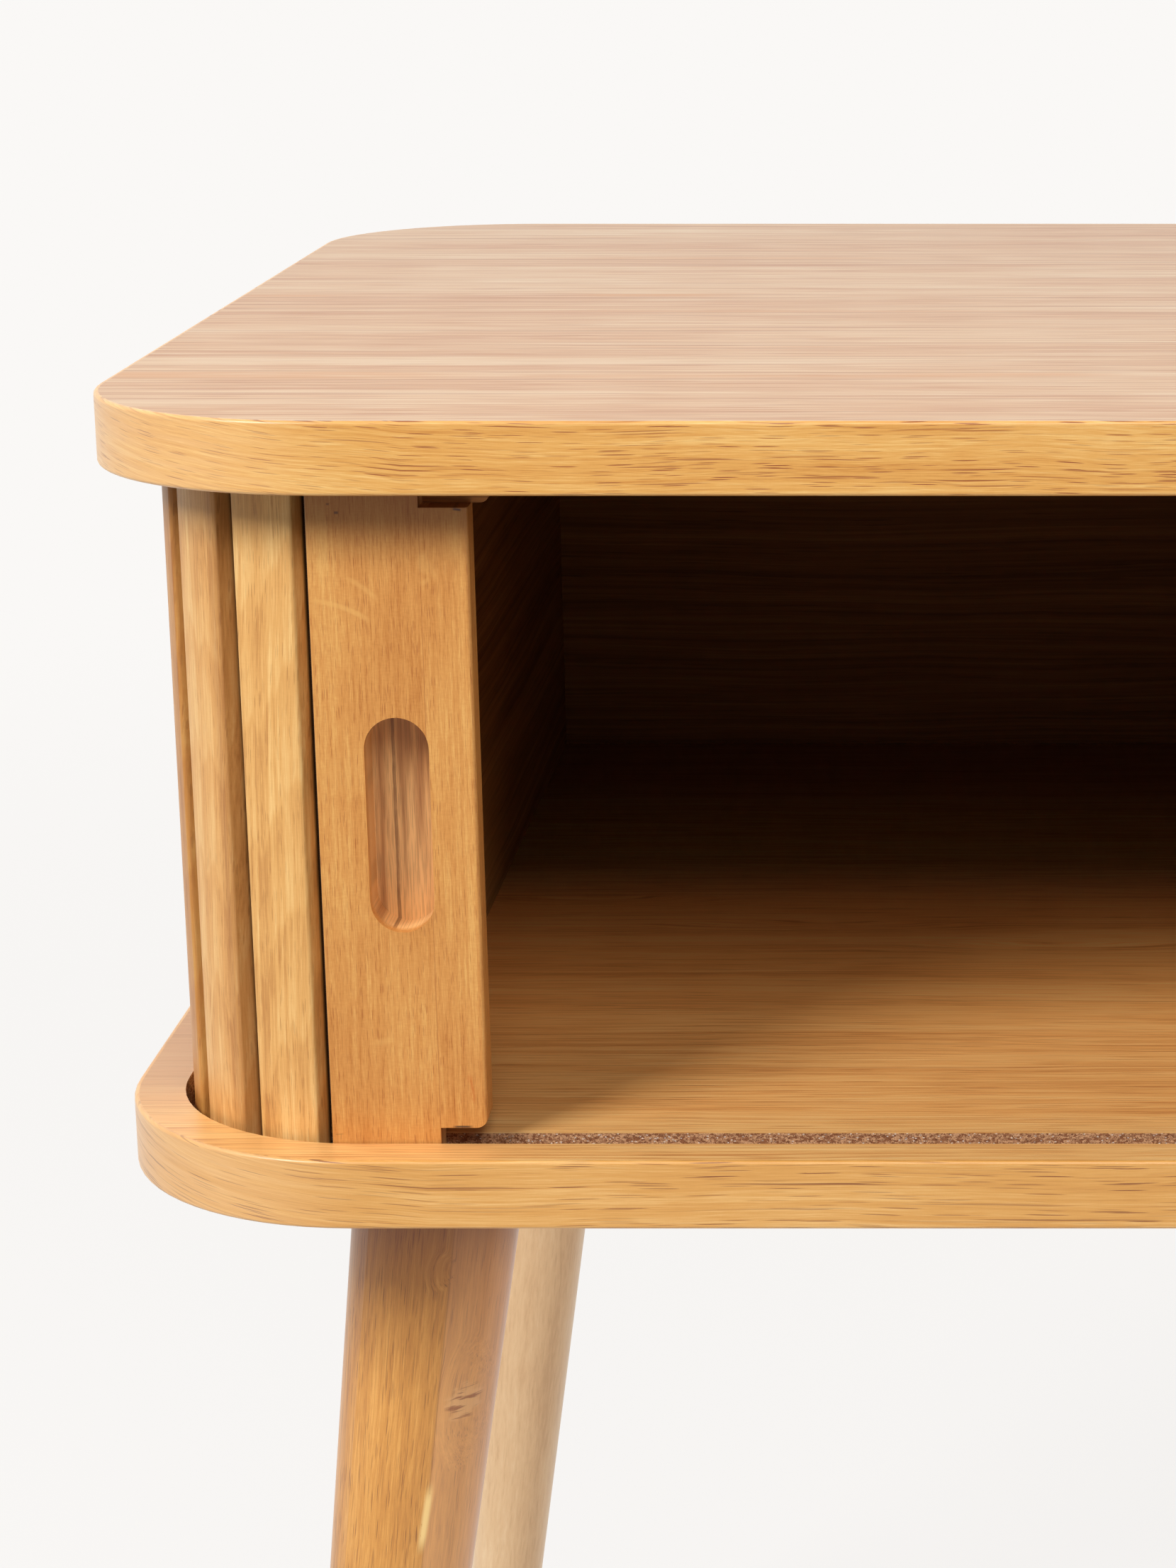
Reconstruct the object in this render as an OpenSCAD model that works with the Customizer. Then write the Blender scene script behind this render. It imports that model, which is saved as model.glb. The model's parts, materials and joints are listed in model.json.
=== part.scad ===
// Bedside table with a tambour door: two veneered boards, a slatted curtain that
// runs round them in grooves, a compartment between them and four splayed legs.
// Millimetres. X is the width, Y runs from front to back, Z is up.
// The origin is on the floor, under the middle of the table.

/* [Boards] */
// Width of the boards
body_w = 450; // [400:10:520]
// Depth of the boards, front to back
body_d = 470; // [430:10:520]
// Height of the table
total_h = 590; // [500:5:660]
// Clear height between the boards
gap_h = 168; // [140:2:220]
// Thickness of each board, with its veneers
board_t = 18; // [16:1:25]
// Radius of the boards' corners in plan
corner_r = 66; // [60:1:80]
// Thickness of each veneer
veneer_t = 0.6; // [0.4:0.1:1]
// Thickness of the edge band
band_t = 1.2; // [1.1:0.1:2]
// Radius of the rounded arris of the edge band
arris_r = 0.9; // [0.3:0.1:0.9]

/* [Curtain track] */
// Distance from a board's edge to its groove
groove_inset = 13.2; // [11:0.1:16]
// Width of the groove
groove_w = 9.6; // [9:0.1:12]
// Depth of the groove
groove_depth = 9; // [6:0.5:10]
// Clearance under the slats' ends
run_clear = 0.3; // [0.2:0.05:0.4]
// Clearance over the slats' ends
lift_clear = 1.2; // [0.8:0.1:3]
// Gap between the slats' backs and the groove's inner wall
back_clear = 0.3; // [0.2:0.05:0.6]

/* [Slats] */
// Width of a slat
slat_w = 17; // [15:0.1:17.8]
// Thickness of a slat at its middle
slat_t = 7; // [5:0.1:8]
// Distance between the middles of two slats
slat_pitch = 20; // [19.5:0.1:22]
// Radius of a slat's front edges
slat_round = 1.2; // [0.8:0.1:3]
// Radius of a slat's crowned front
slat_crown = 38; // [25:1:80]
// Thickness of the canvas behind the slats
canvas_t = 0.5; // [0.3:0.1:0.6]
// Distance from the canvas to each board
canvas_margin = 4; // [2:0.5:12]

/* [Lead slat and stiles] */
// Width of the lead slat
lead_w = 39.6; // [36:0.2:46]
// Thickness of the lead slat between the boards
lead_t = 14; // [13:0.5:15]
// Gap between the lead slat's face and the groove's outer wall
lead_clear = 0.7; // [0.5:0.1:1]
// Gap between the board and the thick part of the lead slat
body_clear = 1; // [0.6:0.1:2]
// Width of the notches in the leading edge
notch_w = 12; // [8:0.2:18]
// Height of the upper notch
notch_top = 5.2; // [4.6:0.1:8]
// Height of the lower notch
notch_bottom = 4; // [2.5:0.1:8]
// Radius of the lower leading corner
lead_corner_r = 3; // [1:0.5:5]
// Radius of the leading edge's front arris
lead_round = 1.1; // [0.5:0.1:2]
// Radius of the leading edge's back arris, where fingers reach round it
lead_back_round = 5; // [1:0.5:6]
// Radius of the other edge's front arris
outer_round = 0.5; // [0.2:0.1:1]
// Width of the finger pull
pull_w = 16; // [14:0.5:20]
// Length of the finger pull
pull_l = 55; // [40:1:70]
// Depth of the finger pull
pull_depth = 11.5; // [6:0.5:12]
// Distance of the finger pull from the leading edge, to its middle
pull_inset = 19.5; // [17:0.5:24]
// Height of the finger pull's middle below the middle of the door
pull_drop = 1; // [0:0.5:10]
// Width of the bumper that stands beyond the leading edge
bumper_out = 4.3; // [2:0.1:6]
// Depth of the bumper, front to back
bumper_d = 6.4; // [4:0.2:7]
// Height of the bumper
bumper_h = 4.2; // [3:0.1:4.2]
// Smallest width of the closing stile
stile_min_w = 24; // [20:1:28]
// Gap between the lead slat and the closing stile when the door is shut
shut_gap = 0.5; // [0.4:0.1:2]

/* [Compartment] */
// Thickness of the inner walls
wall_t = 15; // [12:1:18]
// Distance from the boards' sides to the inner walls' inner faces
wall_inset = 73; // [68:1:80]
// Distance from the boards' front edge to the inner walls
wall_setback = 30; // [29:1:50]
// Thickness of the back panel
back_t = 2.5; // [2:0.5:6]
// Gap between the back panel's ends and the canvas
back_gap = 0.4; // [0.3:0.1:3]

/* [Legs] */
// Diameter of a leg under the boards
leg_top_d = 47; // [40:1:52]
// Diameter of a leg at its foot
leg_foot_d = 21; // [19:1:28]
// Distance from the boards' edges to the middle of a leg's top
leg_inset = 79; // [70:1:90]
// Splay of a leg, seen from the front and from the side
leg_splay = 6.73; // [2:0.01:8]
// Diameter of a foot glide
glide_d = 17; // [12:1:18]
// Thickness of a foot glide
glide_t = 3; // [2:0.5:5]

/* [Fixings] */
// Diameter of the hanger bolts
bolt_d = 8; // [6:1:8]
// Length of a hanger bolt inside its leg
bolt_in_leg = 36; // [20:1:50]
// Diameter of the threaded inserts
insert_d = 12; // [10:0.5:14]
// Length of the threaded inserts
insert_l = 12; // [8:1:13]
// Diameter of the dowels
dowel_d = 8; // [6:1:8]
// Length of the dowels
dowel_l = 28; // [24:1:34]
// Length of a dowel inside a board
dowel_in_board = 10; // [7:1:12]
// Distance between the outer dowels over a wall
top_dowel_span = 300; // [200:10:320]
// Distance between the dowels under a wall
low_dowel_span = 80; // [60:5:110]
// Distance between the screws under a wall
screw_span = 180; // [140:5:210]
// Diameter of the wall screws
screw_d = 4.5; // [3.5:0.5:5]
// Length of the wall screws
screw_l = 45; // [35:1:60]
// Diameter of the wall screws' heads
screw_head_d = 8.5; // [7:0.5:10]
// Height of the wall screws' heads
screw_head_h = 3; // [2:0.5:4]
// Diameter of the back panel's pins
pin_d = 1.6; // [1.2:0.2:2.4]
// Length of the back panel's pins
pin_l = 18; // [12:1:30]
// Distance between the outer pins of one wall
pin_span = 130; // [100:5:130]

/* [Hidden] */
$fn = 96;
single_slats = 23;
corner_slats = 3;
side_slats_end = 20;

// Colours
veneer_colour = [0.86, 0.72, 0.60];
band_colour = [0.92, 0.70, 0.42];
core_colour = [0.45, 0.30, 0.18];
slat_colour = [0.88, 0.68, 0.42];
lead_colour = [0.84, 0.60, 0.36];
wall_colour = [0.78, 0.58, 0.36];
leg_colour = [0.86, 0.64, 0.38];
bumper_colour = [0.32, 0.17, 0.09];
canvas_colour = [0.20, 0.13, 0.09];
steel_colour = [0.62, 0.63, 0.65];
brass_colour = [0.78, 0.64, 0.34];
glide_colour = [0.30, 0.24, 0.20];

// Heights
floor_top = total_h - board_t - gap_h;
under_top = total_h - board_t;
under_bottom = floor_top - board_t;
mid_gap = floor_top + gap_h / 2;

// Corner centres, and the straight runs between them
half_x = body_w / 2 - corner_r;
half_y = body_d / 2 - corner_r;

// The curtain's line runs along the slats' backs. It is measured from where the
// front left bend starts, leftwards and then round to the back.
back_inset = groove_inset + groove_w - back_clear;
canvas_clear = 0.1;
line_r = corner_r - back_inset;
canvas_r = line_r - canvas_clear - canvas_t;
bend_len = line_r * PI / 2;
side_len = 2 * half_y;
turn_len = 2 * bend_len + side_len;
slat_bottom = floor_top - groove_depth + run_clear;
slat_top = under_top + groove_depth - lift_clear;

// The open lead slat stops where its tongue's outer corner comes this near to the
// groove's outer wall in the bend.
lead_rest_gap = 0.36;
groove_r = corner_r - groove_inset;
lead_face = groove_inset + lead_clear;
lead_past = sqrt(pow(groove_r - lead_rest_gap, 2) - pow(groove_r - lead_clear, 2));
lead_outer = half_x + lead_past;
lead_inner = lead_outer - lead_w;
tongue_t = back_inset - lead_face;
first_slat = lead_past + slat_pitch / 2;

// The door shuts after a whole number of slat pitches.
front_slats = floor((lead_outer + lead_inner - shut_gap - stile_min_w) / slat_pitch);
travel = front_slats * slat_pitch;
stile_inner = travel - lead_inner + shut_gap;
moving_slats = 1 + ceil((turn_len + travel - first_slat) / slat_pitch);
fixed_slats = 1 + ceil((turn_len - first_slat) / slat_pitch);

// The rear stile fills the groove between the two ends of the curtains.
rear_moving_end = -half_x + (slat_at(moving_slats) - turn_len) + slat_w / 2;
rear_fixed_end = half_x - (slat_at(fixed_slats) - turn_len) - slat_w / 2;
rear_stile_gap = slat_pitch - slat_w;

// Inner walls and back panel, measured from the middle. The walls' outer faces pass
// the corner centres, so the back panel's ends stay inside the canvas in its bends.
wall_inner = body_w / 2 - wall_inset;
wall_mid = wall_inner + wall_t / 2;
wall_front = -body_d / 2 + wall_setback;
wall_past = max(0, wall_inner + wall_t - half_x);
back_face = half_y + sqrt(canvas_r * canvas_r - wall_past * wall_past) - back_gap;
wall_back = back_face - back_t;
wall_centre_y = (wall_front + wall_back) / 2;

// Legs
leg_x = body_w / 2 - leg_inset;
leg_y = body_d / 2 - leg_inset;
leg_h = under_bottom - glide_t;
leg_slope = tan(leg_splay);
leg_tilt = atan(leg_slope * sqrt(2));
leg_axis_l = leg_h / cos(leg_tilt);
leg_taper = (leg_top_d - leg_foot_d) / leg_axis_l;
foot_out = leg_slope * under_bottom;
leg_spare = 20;
cut = 1;
round_steps = 6;
crown_steps = 8;

top_dowels_y = [-top_dowel_span / 2, 0, top_dowel_span / 2];
low_dowels_y = [-low_dowel_span / 2, low_dowel_span / 2];
screws_y = [-screw_span / 2, screw_span / 2];
pins_z = [-pin_span / 2, 0, pin_span / 2];

// Points on an arc, leaving out the first and last few
function arc(centre, r, from, to, steps, skip = 0) =
    [for (i = [skip : steps - skip]) let (a = from + (to - from) * i / steps)
        centre + r * [cos(a), sin(a)]];
function slat_name(k) = str("slat_", k < 10 ? "0" : "", k);
function slat_at(k) = first_slat + (k - 1) * slat_pitch;
// How far the curtain has turned at a distance along its line, in degrees
function turn_at(s) =
    s < 0 ? 0 :
    s < bend_len ? s / line_r * 180 / PI :
    s < bend_len + side_len ? 90 :
    s < turn_len ? 90 + (s - bend_len - side_len) / line_r * 180 / PI : 180;
// The point on the curtain's line at a distance along it
function point_at(s) =
    s < 0 ? [-half_x - s, -half_y - line_r] :
    s < bend_len ? [-half_x - line_r * sin(turn_at(s)), -half_y - line_r * cos(turn_at(s))] :
    s < bend_len + side_len ? [-half_x - line_r, -half_y + s - bend_len] :
    s < turn_len ? [-half_x - line_r * sin(turn_at(s)), half_y - line_r * cos(turn_at(s))] :
    [-half_x + s - turn_len, half_y + line_r];

// ---- Shapes that repeat ----

module plan(inset) {
    r = corner_r - inset;
    square([body_w - 2 * inset, 2 * half_y], center = true);
    square([2 * half_x, body_d - 2 * inset], center = true);
    for (x = [-half_x, half_x], y = [-half_y, half_y]) translate([x, y]) circle(r);
}

module groove_plan() {
    difference() {
        plan(groove_inset);
        plan(groove_inset + groove_w);
    }
}

// A profile drawn at its distance from the corner centres, taken round the plan
module round_the_plan() {
    for (i = [0, 1]) rotate([0, 0, 180 * i]) {
        translate([half_x, half_y, 0]) rotate_extrude(angle = 90) children();
        translate([-half_x, half_y, 0]) rotate([0, 0, 90]) rotate_extrude(angle = 90) children();
        translate([half_x, half_y, 0]) rotate([90, 0, 0]) linear_extrude(2 * half_y) children();
        translate([-half_x, half_y, 0]) rotate([90, 0, 90]) linear_extrude(2 * half_x) children();
    }
}

module band_profile() {
    translate([corner_r - band_t, 0]) square([band_t - arris_r, board_t]);
    translate([corner_r - band_t, arris_r]) square([band_t, board_t - 2 * arris_r]);
    intersection() {
        translate([corner_r - arris_r, 0]) square([arris_r, board_t]);
        for (z = [arris_r, board_t - arris_r]) translate([corner_r - arris_r, z]) circle(arris_r);
    }
}

// A slat's section: a flat back on the X axis, rounded edges and a crowned front
module slat_section() {
    edge_x = slat_w / 2 - slat_round;
    inner_r = slat_crown - slat_round;
    crown_y = slat_t - slat_crown;
    edge_y = crown_y + sqrt(inner_r * inner_r - edge_x * edge_x);
    lean = asin(edge_x / inner_r);
    mirror([0, 1]) polygon(concat(
        arc([edge_x, edge_y], slat_round, 0, 90 - lean, round_steps),
        arc([0, crown_y], slat_crown, 90 - lean, 90 + lean, crown_steps, 1),
        arc([-edge_x, edge_y], slat_round, 90 + lean, 180, round_steps),
        [[-slat_w / 2, 0], [slat_w / 2, 0]]));
}

module slat(s) {
    p = point_at(s);
    translate([p[0], p[1], slat_bottom]) rotate([0, 0, -turn_at(s)])
        linear_extrude(slat_top - slat_bottom) slat_section();
}

module slats(from, to) {
    color(slat_colour) for (k = [from : to]) slat(slat_at(k));
}

// A strip of canvas behind the slats, between two distances along the curtain's line
module canvas_strip(from, to) {
    height = gap_h - 2 * canvas_margin;
    translate([0, 0, floor_top + canvas_margin]) {
        translate([-half_x, -half_y, 0]) rotate([0, 0, 180])
            rotate_extrude(angle = 90 - turn_at(from))
                translate([canvas_r, 0]) square([canvas_t, height]);
        translate([-half_x - canvas_r - canvas_t, -half_y, 0]) cube([canvas_t, side_len, height]);
        translate([-half_x, half_y, 0]) rotate([0, 0, 90])
            rotate_extrude(angle = 90) translate([canvas_r, 0]) square([canvas_t, height]);
        translate([-half_x, half_y + canvas_r, 0]) cube([to - turn_len, canvas_t, height]);
    }
}

module dowel_set(z_low, y_list) {
    for (x = [-wall_mid, wall_mid], y = y_list)
        translate([x, wall_centre_y + y, z_low]) cylinder(h = dowel_l, d = dowel_d);
}

module wall_dowel_solids() {
    dowel_set(under_top - dowel_l + dowel_in_board, top_dowels_y);
    dowel_set(floor_top - dowel_in_board, low_dowels_y);
}

module wall_screw_solids() {
    for (x = [-wall_mid, wall_mid], y = screws_y) translate([x, wall_centre_y + y, under_bottom]) {
        cylinder(h = screw_l, d = screw_d);
        cylinder(h = screw_head_h, d1 = screw_head_d, d2 = screw_d);
    }
}

module pin_solids() {
    for (x = [-wall_mid, wall_mid], z = pins_z)
        translate([x, back_face, mid_gap + z]) rotate([90, 0, 0]) cylinder(h = pin_l, d = pin_d);
}

module at_legs() {
    for (x = [-leg_x, leg_x], y = [-leg_y, leg_y]) translate([x, y, under_bottom]) children();
}

module insert_holes() {
    at_legs() translate([0, 0, -cut]) cylinder(h = insert_l + cut, d = insert_d);
}

// ---- Boards ----

module top_core() {
    color(core_colour) difference() {
        translate([0, 0, under_top + veneer_t]) linear_extrude(board_t - 2 * veneer_t) plan(band_t);
        translate([0, 0, under_top - cut]) linear_extrude(groove_depth + cut) groove_plan();
        wall_dowel_solids();
    }
}

module top_face_veneer() {
    color(veneer_colour) translate([0, 0, total_h - veneer_t]) linear_extrude(veneer_t) plan(band_t);
}

module top_underside_veneer() {
    color(veneer_colour) difference() {
        translate([0, 0, under_top]) linear_extrude(veneer_t) plan(band_t);
        translate([0, 0, under_top - cut]) linear_extrude(veneer_t + 2 * cut) groove_plan();
        wall_dowel_solids();
    }
}

module top_edge_band() {
    color(band_colour) translate([0, 0, under_top]) round_the_plan() band_profile();
}

module bottom_core() {
    color(core_colour) difference() {
        translate([0, 0, under_bottom + veneer_t])
            linear_extrude(board_t - 2 * veneer_t) plan(band_t);
        translate([0, 0, floor_top - groove_depth]) linear_extrude(groove_depth + cut) groove_plan();
        wall_dowel_solids();
        wall_screw_solids();
        insert_holes();
    }
}

module bottom_face_veneer() {
    color(veneer_colour) difference() {
        translate([0, 0, floor_top - veneer_t]) linear_extrude(veneer_t) plan(band_t);
        translate([0, 0, floor_top - veneer_t - cut])
            linear_extrude(veneer_t + 2 * cut) groove_plan();
        wall_dowel_solids();
        wall_screw_solids();
    }
}

module bottom_underside_veneer() {
    color(veneer_colour) difference() {
        translate([0, 0, under_bottom]) linear_extrude(veneer_t) plan(band_t);
        wall_screw_solids();
        insert_holes();
    }
}

module bottom_edge_band() {
    color(band_colour) translate([0, 0, under_bottom]) round_the_plan() band_profile();
}

// ---- Compartment ----

module inner_wall(side) {
    color(wall_colour) difference() {
        translate([side * wall_mid - wall_t / 2, wall_front, floor_top])
            cube([wall_t, wall_back - wall_front, gap_h]);
        wall_dowel_solids();
        wall_screw_solids();
        pin_solids();
    }
}

module left_inner_wall() { inner_wall(-1); }

module right_inner_wall() { inner_wall(1); }

module back_panel() {
    color(wall_colour) difference() {
        translate([-wall_inner - wall_t, wall_back, floor_top])
            cube([2 * (wall_inner + wall_t), back_t, gap_h]);
        pin_solids();
    }
}

// ---- Door ----

// Takes off the square corner outside an arc that starts at the origin and ends at [r, r]
module arris_cut(r) {
    difference() {
        translate([-cut, -cut]) square(r + cut);
        translate([r, r]) circle(r);
    }
}

// The thick part of a stile between the boards, its tongues in the grooves, and a
// notch over and under its leading edge, which faces +X. It starts at its outer edge.
module stile_blank(width, lead_edge) {
    front = -body_d / 2 + lead_face;
    tongue_w = width - lead_edge;
    difference() {
        translate([0, front, floor_top + body_clear]) linear_extrude(gap_h - 2 * body_clear)
            difference() {
                square([width, lead_t]);
                arris_cut(outer_round);
                translate([width, 0]) mirror([1, 0]) arris_cut(lead_round);
                translate([width, lead_t]) rotate(180) arris_cut(lead_back_round);
            }
        translate([tongue_w, front - cut, floor_top])
            cube([lead_edge + cut, lead_t + 2 * cut, notch_bottom]);
        translate([tongue_w, front - cut, under_top - notch_top])
            cube([lead_edge + cut, lead_t + 2 * cut, notch_top]);
    }
    translate([0, front, slat_bottom]) linear_extrude(slat_top - slat_bottom) difference() {
        square([tongue_w, tongue_t]);
        arris_cut(outer_round);
    }
}

module pull_slot() {
    front = -body_d / 2 + lead_face;
    straight = pull_l - pull_w;
    translate([-lead_inner - pull_inset, front + pull_depth, mid_gap - pull_drop]) rotate([90, 0, 0])
        linear_extrude(pull_depth + cut) {
            square([pull_w, straight], center = true);
            for (z = [-straight / 2, straight / 2]) translate([0, z]) circle(pull_w / 2);
        }
}

module rounded_corner_cut() {
    z = floor_top + notch_bottom;
    translate([-lead_inner, -body_d / 2, z]) rotate([-90, 0, 0]) linear_extrude(lead_face + lead_t + cut)
        difference() {
            translate([-lead_corner_r, -lead_corner_r]) square(lead_corner_r + cut);
            translate([-lead_corner_r, -lead_corner_r]) circle(lead_corner_r);
        }
}

module lead_slat() {
    color(lead_colour) difference() {
        translate([-lead_outer, 0, 0]) stile_blank(lead_w, notch_w);
        pull_slot();
        rounded_corner_cut();
    }
}

module lead_bumper() {
    back = -body_d / 2 + lead_face + lead_t;
    bottom = under_top - notch_top;
    length = notch_w + bumper_out;
    nose = bumper_h / 2;
    color(bumper_colour) translate([-lead_inner - notch_w, back, bottom]) rotate([90, 0, 0])
        linear_extrude(bumper_d) {
            square([length - nose, bumper_h]);
            translate([length - nose, nose]) circle(nose);
            translate([length - nose, nose]) square([nose, bumper_h - nose]);
        }
}

module closing_stile() {
    color(lead_colour) mirror([1, 0, 0]) translate([-lead_outer, 0, 0])
        stile_blank(lead_outer - stile_inner, notch_w);
}

module rear_stile() {
    face = body_d / 2 - back_inset;
    from = rear_moving_end + rear_stile_gap;
    width = rear_fixed_end - rear_stile_gap - from;
    color(lead_colour) translate([from, face, slat_bottom]) cube([width, slat_t, slat_top - slat_bottom]);
}

module rear_run_slats() { slats(single_slats + 1, moving_slats); }

module right_corner_slats() { mirror([1, 0, 0]) slats(1, corner_slats); }

module right_side_slats() { mirror([1, 0, 0]) slats(corner_slats + 1, side_slats_end); }

module rear_right_slats() { mirror([1, 0, 0]) slats(side_slats_end + 1, fixed_slats); }

module curtain_canvas() {
    color(canvas_colour) canvas_strip(first_slat - slat_w / 2, slat_at(moving_slats) + slat_w / 2);
}

module fixed_canvas() {
    color(canvas_colour) mirror([1, 0, 0])
        canvas_strip(first_slat - slat_w / 2, slat_at(fixed_slats) + slat_w / 2);
}

// ---- Legs and fixings ----

module leg(side_x, side_y) {
    top_d = leg_top_d + leg_taper * leg_spare;
    foot_d = leg_foot_d - leg_taper * leg_spare;
    color(leg_colour) difference() {
        intersection() {
            translate([side_x * leg_x, side_y * leg_y, under_bottom])
                rotate([0, -leg_tilt, atan2(side_y, side_x)]) translate([0, 0, -leg_axis_l - leg_spare])
                    cylinder(h = leg_axis_l + 2 * leg_spare, d1 = foot_d, d2 = top_d);
            translate([-body_w, -body_d, glide_t]) cube([2 * body_w, 2 * body_d, leg_h]);
        }
        translate([side_x * leg_x, side_y * leg_y, under_bottom - bolt_in_leg])
            cylinder(h = bolt_in_leg + cut, d = bolt_d);
    }
}

module leg_front_left() { leg(-1, -1); }

module leg_front_right() { leg(1, -1); }

module leg_rear_left() { leg(-1, 1); }

module leg_rear_right() { leg(1, 1); }

module foot_glides() {
    foot_x = leg_x + foot_out;
    foot_y = leg_y + foot_out;
    color(glide_colour) for (x = [-foot_x, foot_x], y = [-foot_y, foot_y])
        translate([x, y, 0]) cylinder(h = glide_t, d = glide_d);
}

module leg_bolts() {
    color(steel_colour) at_legs() translate([0, 0, -bolt_in_leg])
        cylinder(h = bolt_in_leg + insert_l, d = bolt_d);
}

module leg_inserts() {
    color(brass_colour) at_legs() difference() {
        cylinder(h = insert_l, d = insert_d);
        translate([0, 0, -cut]) cylinder(h = insert_l + 2 * cut, d = bolt_d);
    }
}

module wall_dowels() { color(wall_colour) wall_dowel_solids(); }

module wall_screws() { color(steel_colour) wall_screw_solids(); }

module back_panel_pins() { color(steel_colour) pin_solids(); }

top_core();
top_face_veneer();
top_underside_veneer();
top_edge_band();
bottom_core();
bottom_face_veneer();
bottom_underside_veneer();
bottom_edge_band();
left_inner_wall();
right_inner_wall();
back_panel();
lead_slat();
lead_bumper();
closing_stile();
rear_stile();
for (k = [1 : single_slats]) slats(k, k);
rear_run_slats();
right_corner_slats();
right_side_slats();
rear_right_slats();
curtain_canvas();
fixed_canvas();
leg_front_left();
leg_front_right();
leg_rear_left();
leg_rear_right();
foot_glides();
leg_bolts();
leg_inserts();
wall_dowels();
wall_screws();
back_panel_pins();
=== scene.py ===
"""Looks of a bedside table with a tambour door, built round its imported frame.

Every piece is in metres, in the frame's own coordinates: X to the right, Y to the back and
Z up, from the floor under the middle of the table. The materials count in millimetres.
"""

import json
import math

import bmesh
import bpy
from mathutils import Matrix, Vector


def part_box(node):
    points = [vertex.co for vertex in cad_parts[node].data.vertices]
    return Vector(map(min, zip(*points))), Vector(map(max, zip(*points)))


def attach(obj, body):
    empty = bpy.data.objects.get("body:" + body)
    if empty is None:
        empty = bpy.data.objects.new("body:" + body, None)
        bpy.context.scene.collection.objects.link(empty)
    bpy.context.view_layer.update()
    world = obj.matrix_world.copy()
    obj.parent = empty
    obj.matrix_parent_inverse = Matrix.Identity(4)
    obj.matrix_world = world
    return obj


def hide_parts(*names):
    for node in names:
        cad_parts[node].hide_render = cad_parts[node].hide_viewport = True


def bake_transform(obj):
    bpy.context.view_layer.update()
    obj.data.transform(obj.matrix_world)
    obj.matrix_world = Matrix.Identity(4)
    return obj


MM = 0.001

# Sizes that the frame's boxes don't give, in millimetres, and the legs' splay in degrees
CORNER_R = 66.0
BACK_INSET = 22.5
SLAT_PITCH = 20.0
SLAT_W = 17.0
NOTCH_W = 12.0
PULL_INSET = 22.0
CANVAS_T = 0.5
CANVAS_CLEAR = 0.1
LEG_INSET = 79.0
LEG_SPLAY = 6.73


# ---- The frame ----

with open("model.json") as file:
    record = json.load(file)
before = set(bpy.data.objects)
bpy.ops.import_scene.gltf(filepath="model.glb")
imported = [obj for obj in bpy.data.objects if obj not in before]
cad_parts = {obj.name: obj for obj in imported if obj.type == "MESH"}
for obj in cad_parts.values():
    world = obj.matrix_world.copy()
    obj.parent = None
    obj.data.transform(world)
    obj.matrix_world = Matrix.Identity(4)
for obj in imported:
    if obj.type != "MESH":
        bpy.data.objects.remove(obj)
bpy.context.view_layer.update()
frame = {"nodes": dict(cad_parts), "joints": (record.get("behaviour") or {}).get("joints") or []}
NODES = frame["nodes"]


def in_mm(node):
    """The lowest and highest corners of a node's box, in millimetres."""
    low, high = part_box(node)
    return [value / MM for value in low], [value / MM for value in high]


BODY_HIGH = in_mm("top_edge_band")[1]
UNDER_BOTTOM = in_mm("bottom_edge_band")[0][2]
LEAD_LOW, LEAD_HIGH = in_mm("lead_slat")
LEAD_SEAM = LEAD_HIGH[0] - NOTCH_W
PULL_SPLIT = LEAD_HIGH[0] - PULL_INSET
REAR_STILE_X = in_mm("rear_stile")[0][0]
LEG_SLOPE = math.tan(math.radians(LEG_SPLAY))
LEG_X = BODY_HIGH[0] - LEG_INSET
LEG_Y = BODY_HIGH[1] - LEG_INSET

# The corners' centres, and the line of the slats' backs that runs round them
HALF_X = BODY_HIGH[0] - CORNER_R
HALF_Y = BODY_HIGH[1] - CORNER_R
LINE_R = CORNER_R - BACK_INSET
LINE_LEN = 4 * (HALF_X + HALF_Y) + 2 * math.pi * LINE_R
BEND_LEN = LINE_R * math.pi / 2
SIDE_LEN = 2 * HALF_Y
TURN_LEN = 2 * BEND_LEN + SIDE_LEN
# The first slat's middle, from the start of the front left bend
FIRST_SLAT = -HALF_X - LEAD_LOW[0] + SLAT_PITCH / 2


def dress(made, *names):
    """Gives each named node one material."""
    for name in names:
        piece = NODES[name]
        if not piece.material_slots:
            piece.data.materials.append(made)
        for slot in piece.material_slots:
            slot.material = made


def nodes_like(start):
    return [name for name in NODES if name.startswith(start)]


# ---- Colours ----


def linear(value):
    """One channel of a colour as written on a screen, from 0 to 255, as light."""
    value /= 255
    return value / 12.92 if value <= 0.04045 else ((value + 0.055) / 1.055) ** 2.4


def rgb(red, green, blue):
    return (linear(red), linear(green), linear(blue), 1.0)


PALE = rgb(250, 248, 246)


# ---- Node graphs ----

# The Mix node's colour sockets, whose names its other kinds share
MIX_A, MIX_B, MIX_RESULT = 6, 7, 2


class Field:
    """A value or colour in a material's graph, on which plain arithmetic works."""

    def __init__(self, graph, socket):
        self.graph = graph
        self.socket = socket

    def __add__(self, other):
        return self.graph.math("ADD", self, other)

    def __sub__(self, other):
        return self.graph.math("SUBTRACT", self, other)

    def __rsub__(self, other):
        return self.graph.math("SUBTRACT", other, self)

    def __mul__(self, other):
        return self.graph.math("MULTIPLY", self, other)

    def __truediv__(self, other):
        return self.graph.math("DIVIDE", self, other)

    __radd__ = __add__
    __rmul__ = __mul__


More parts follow.
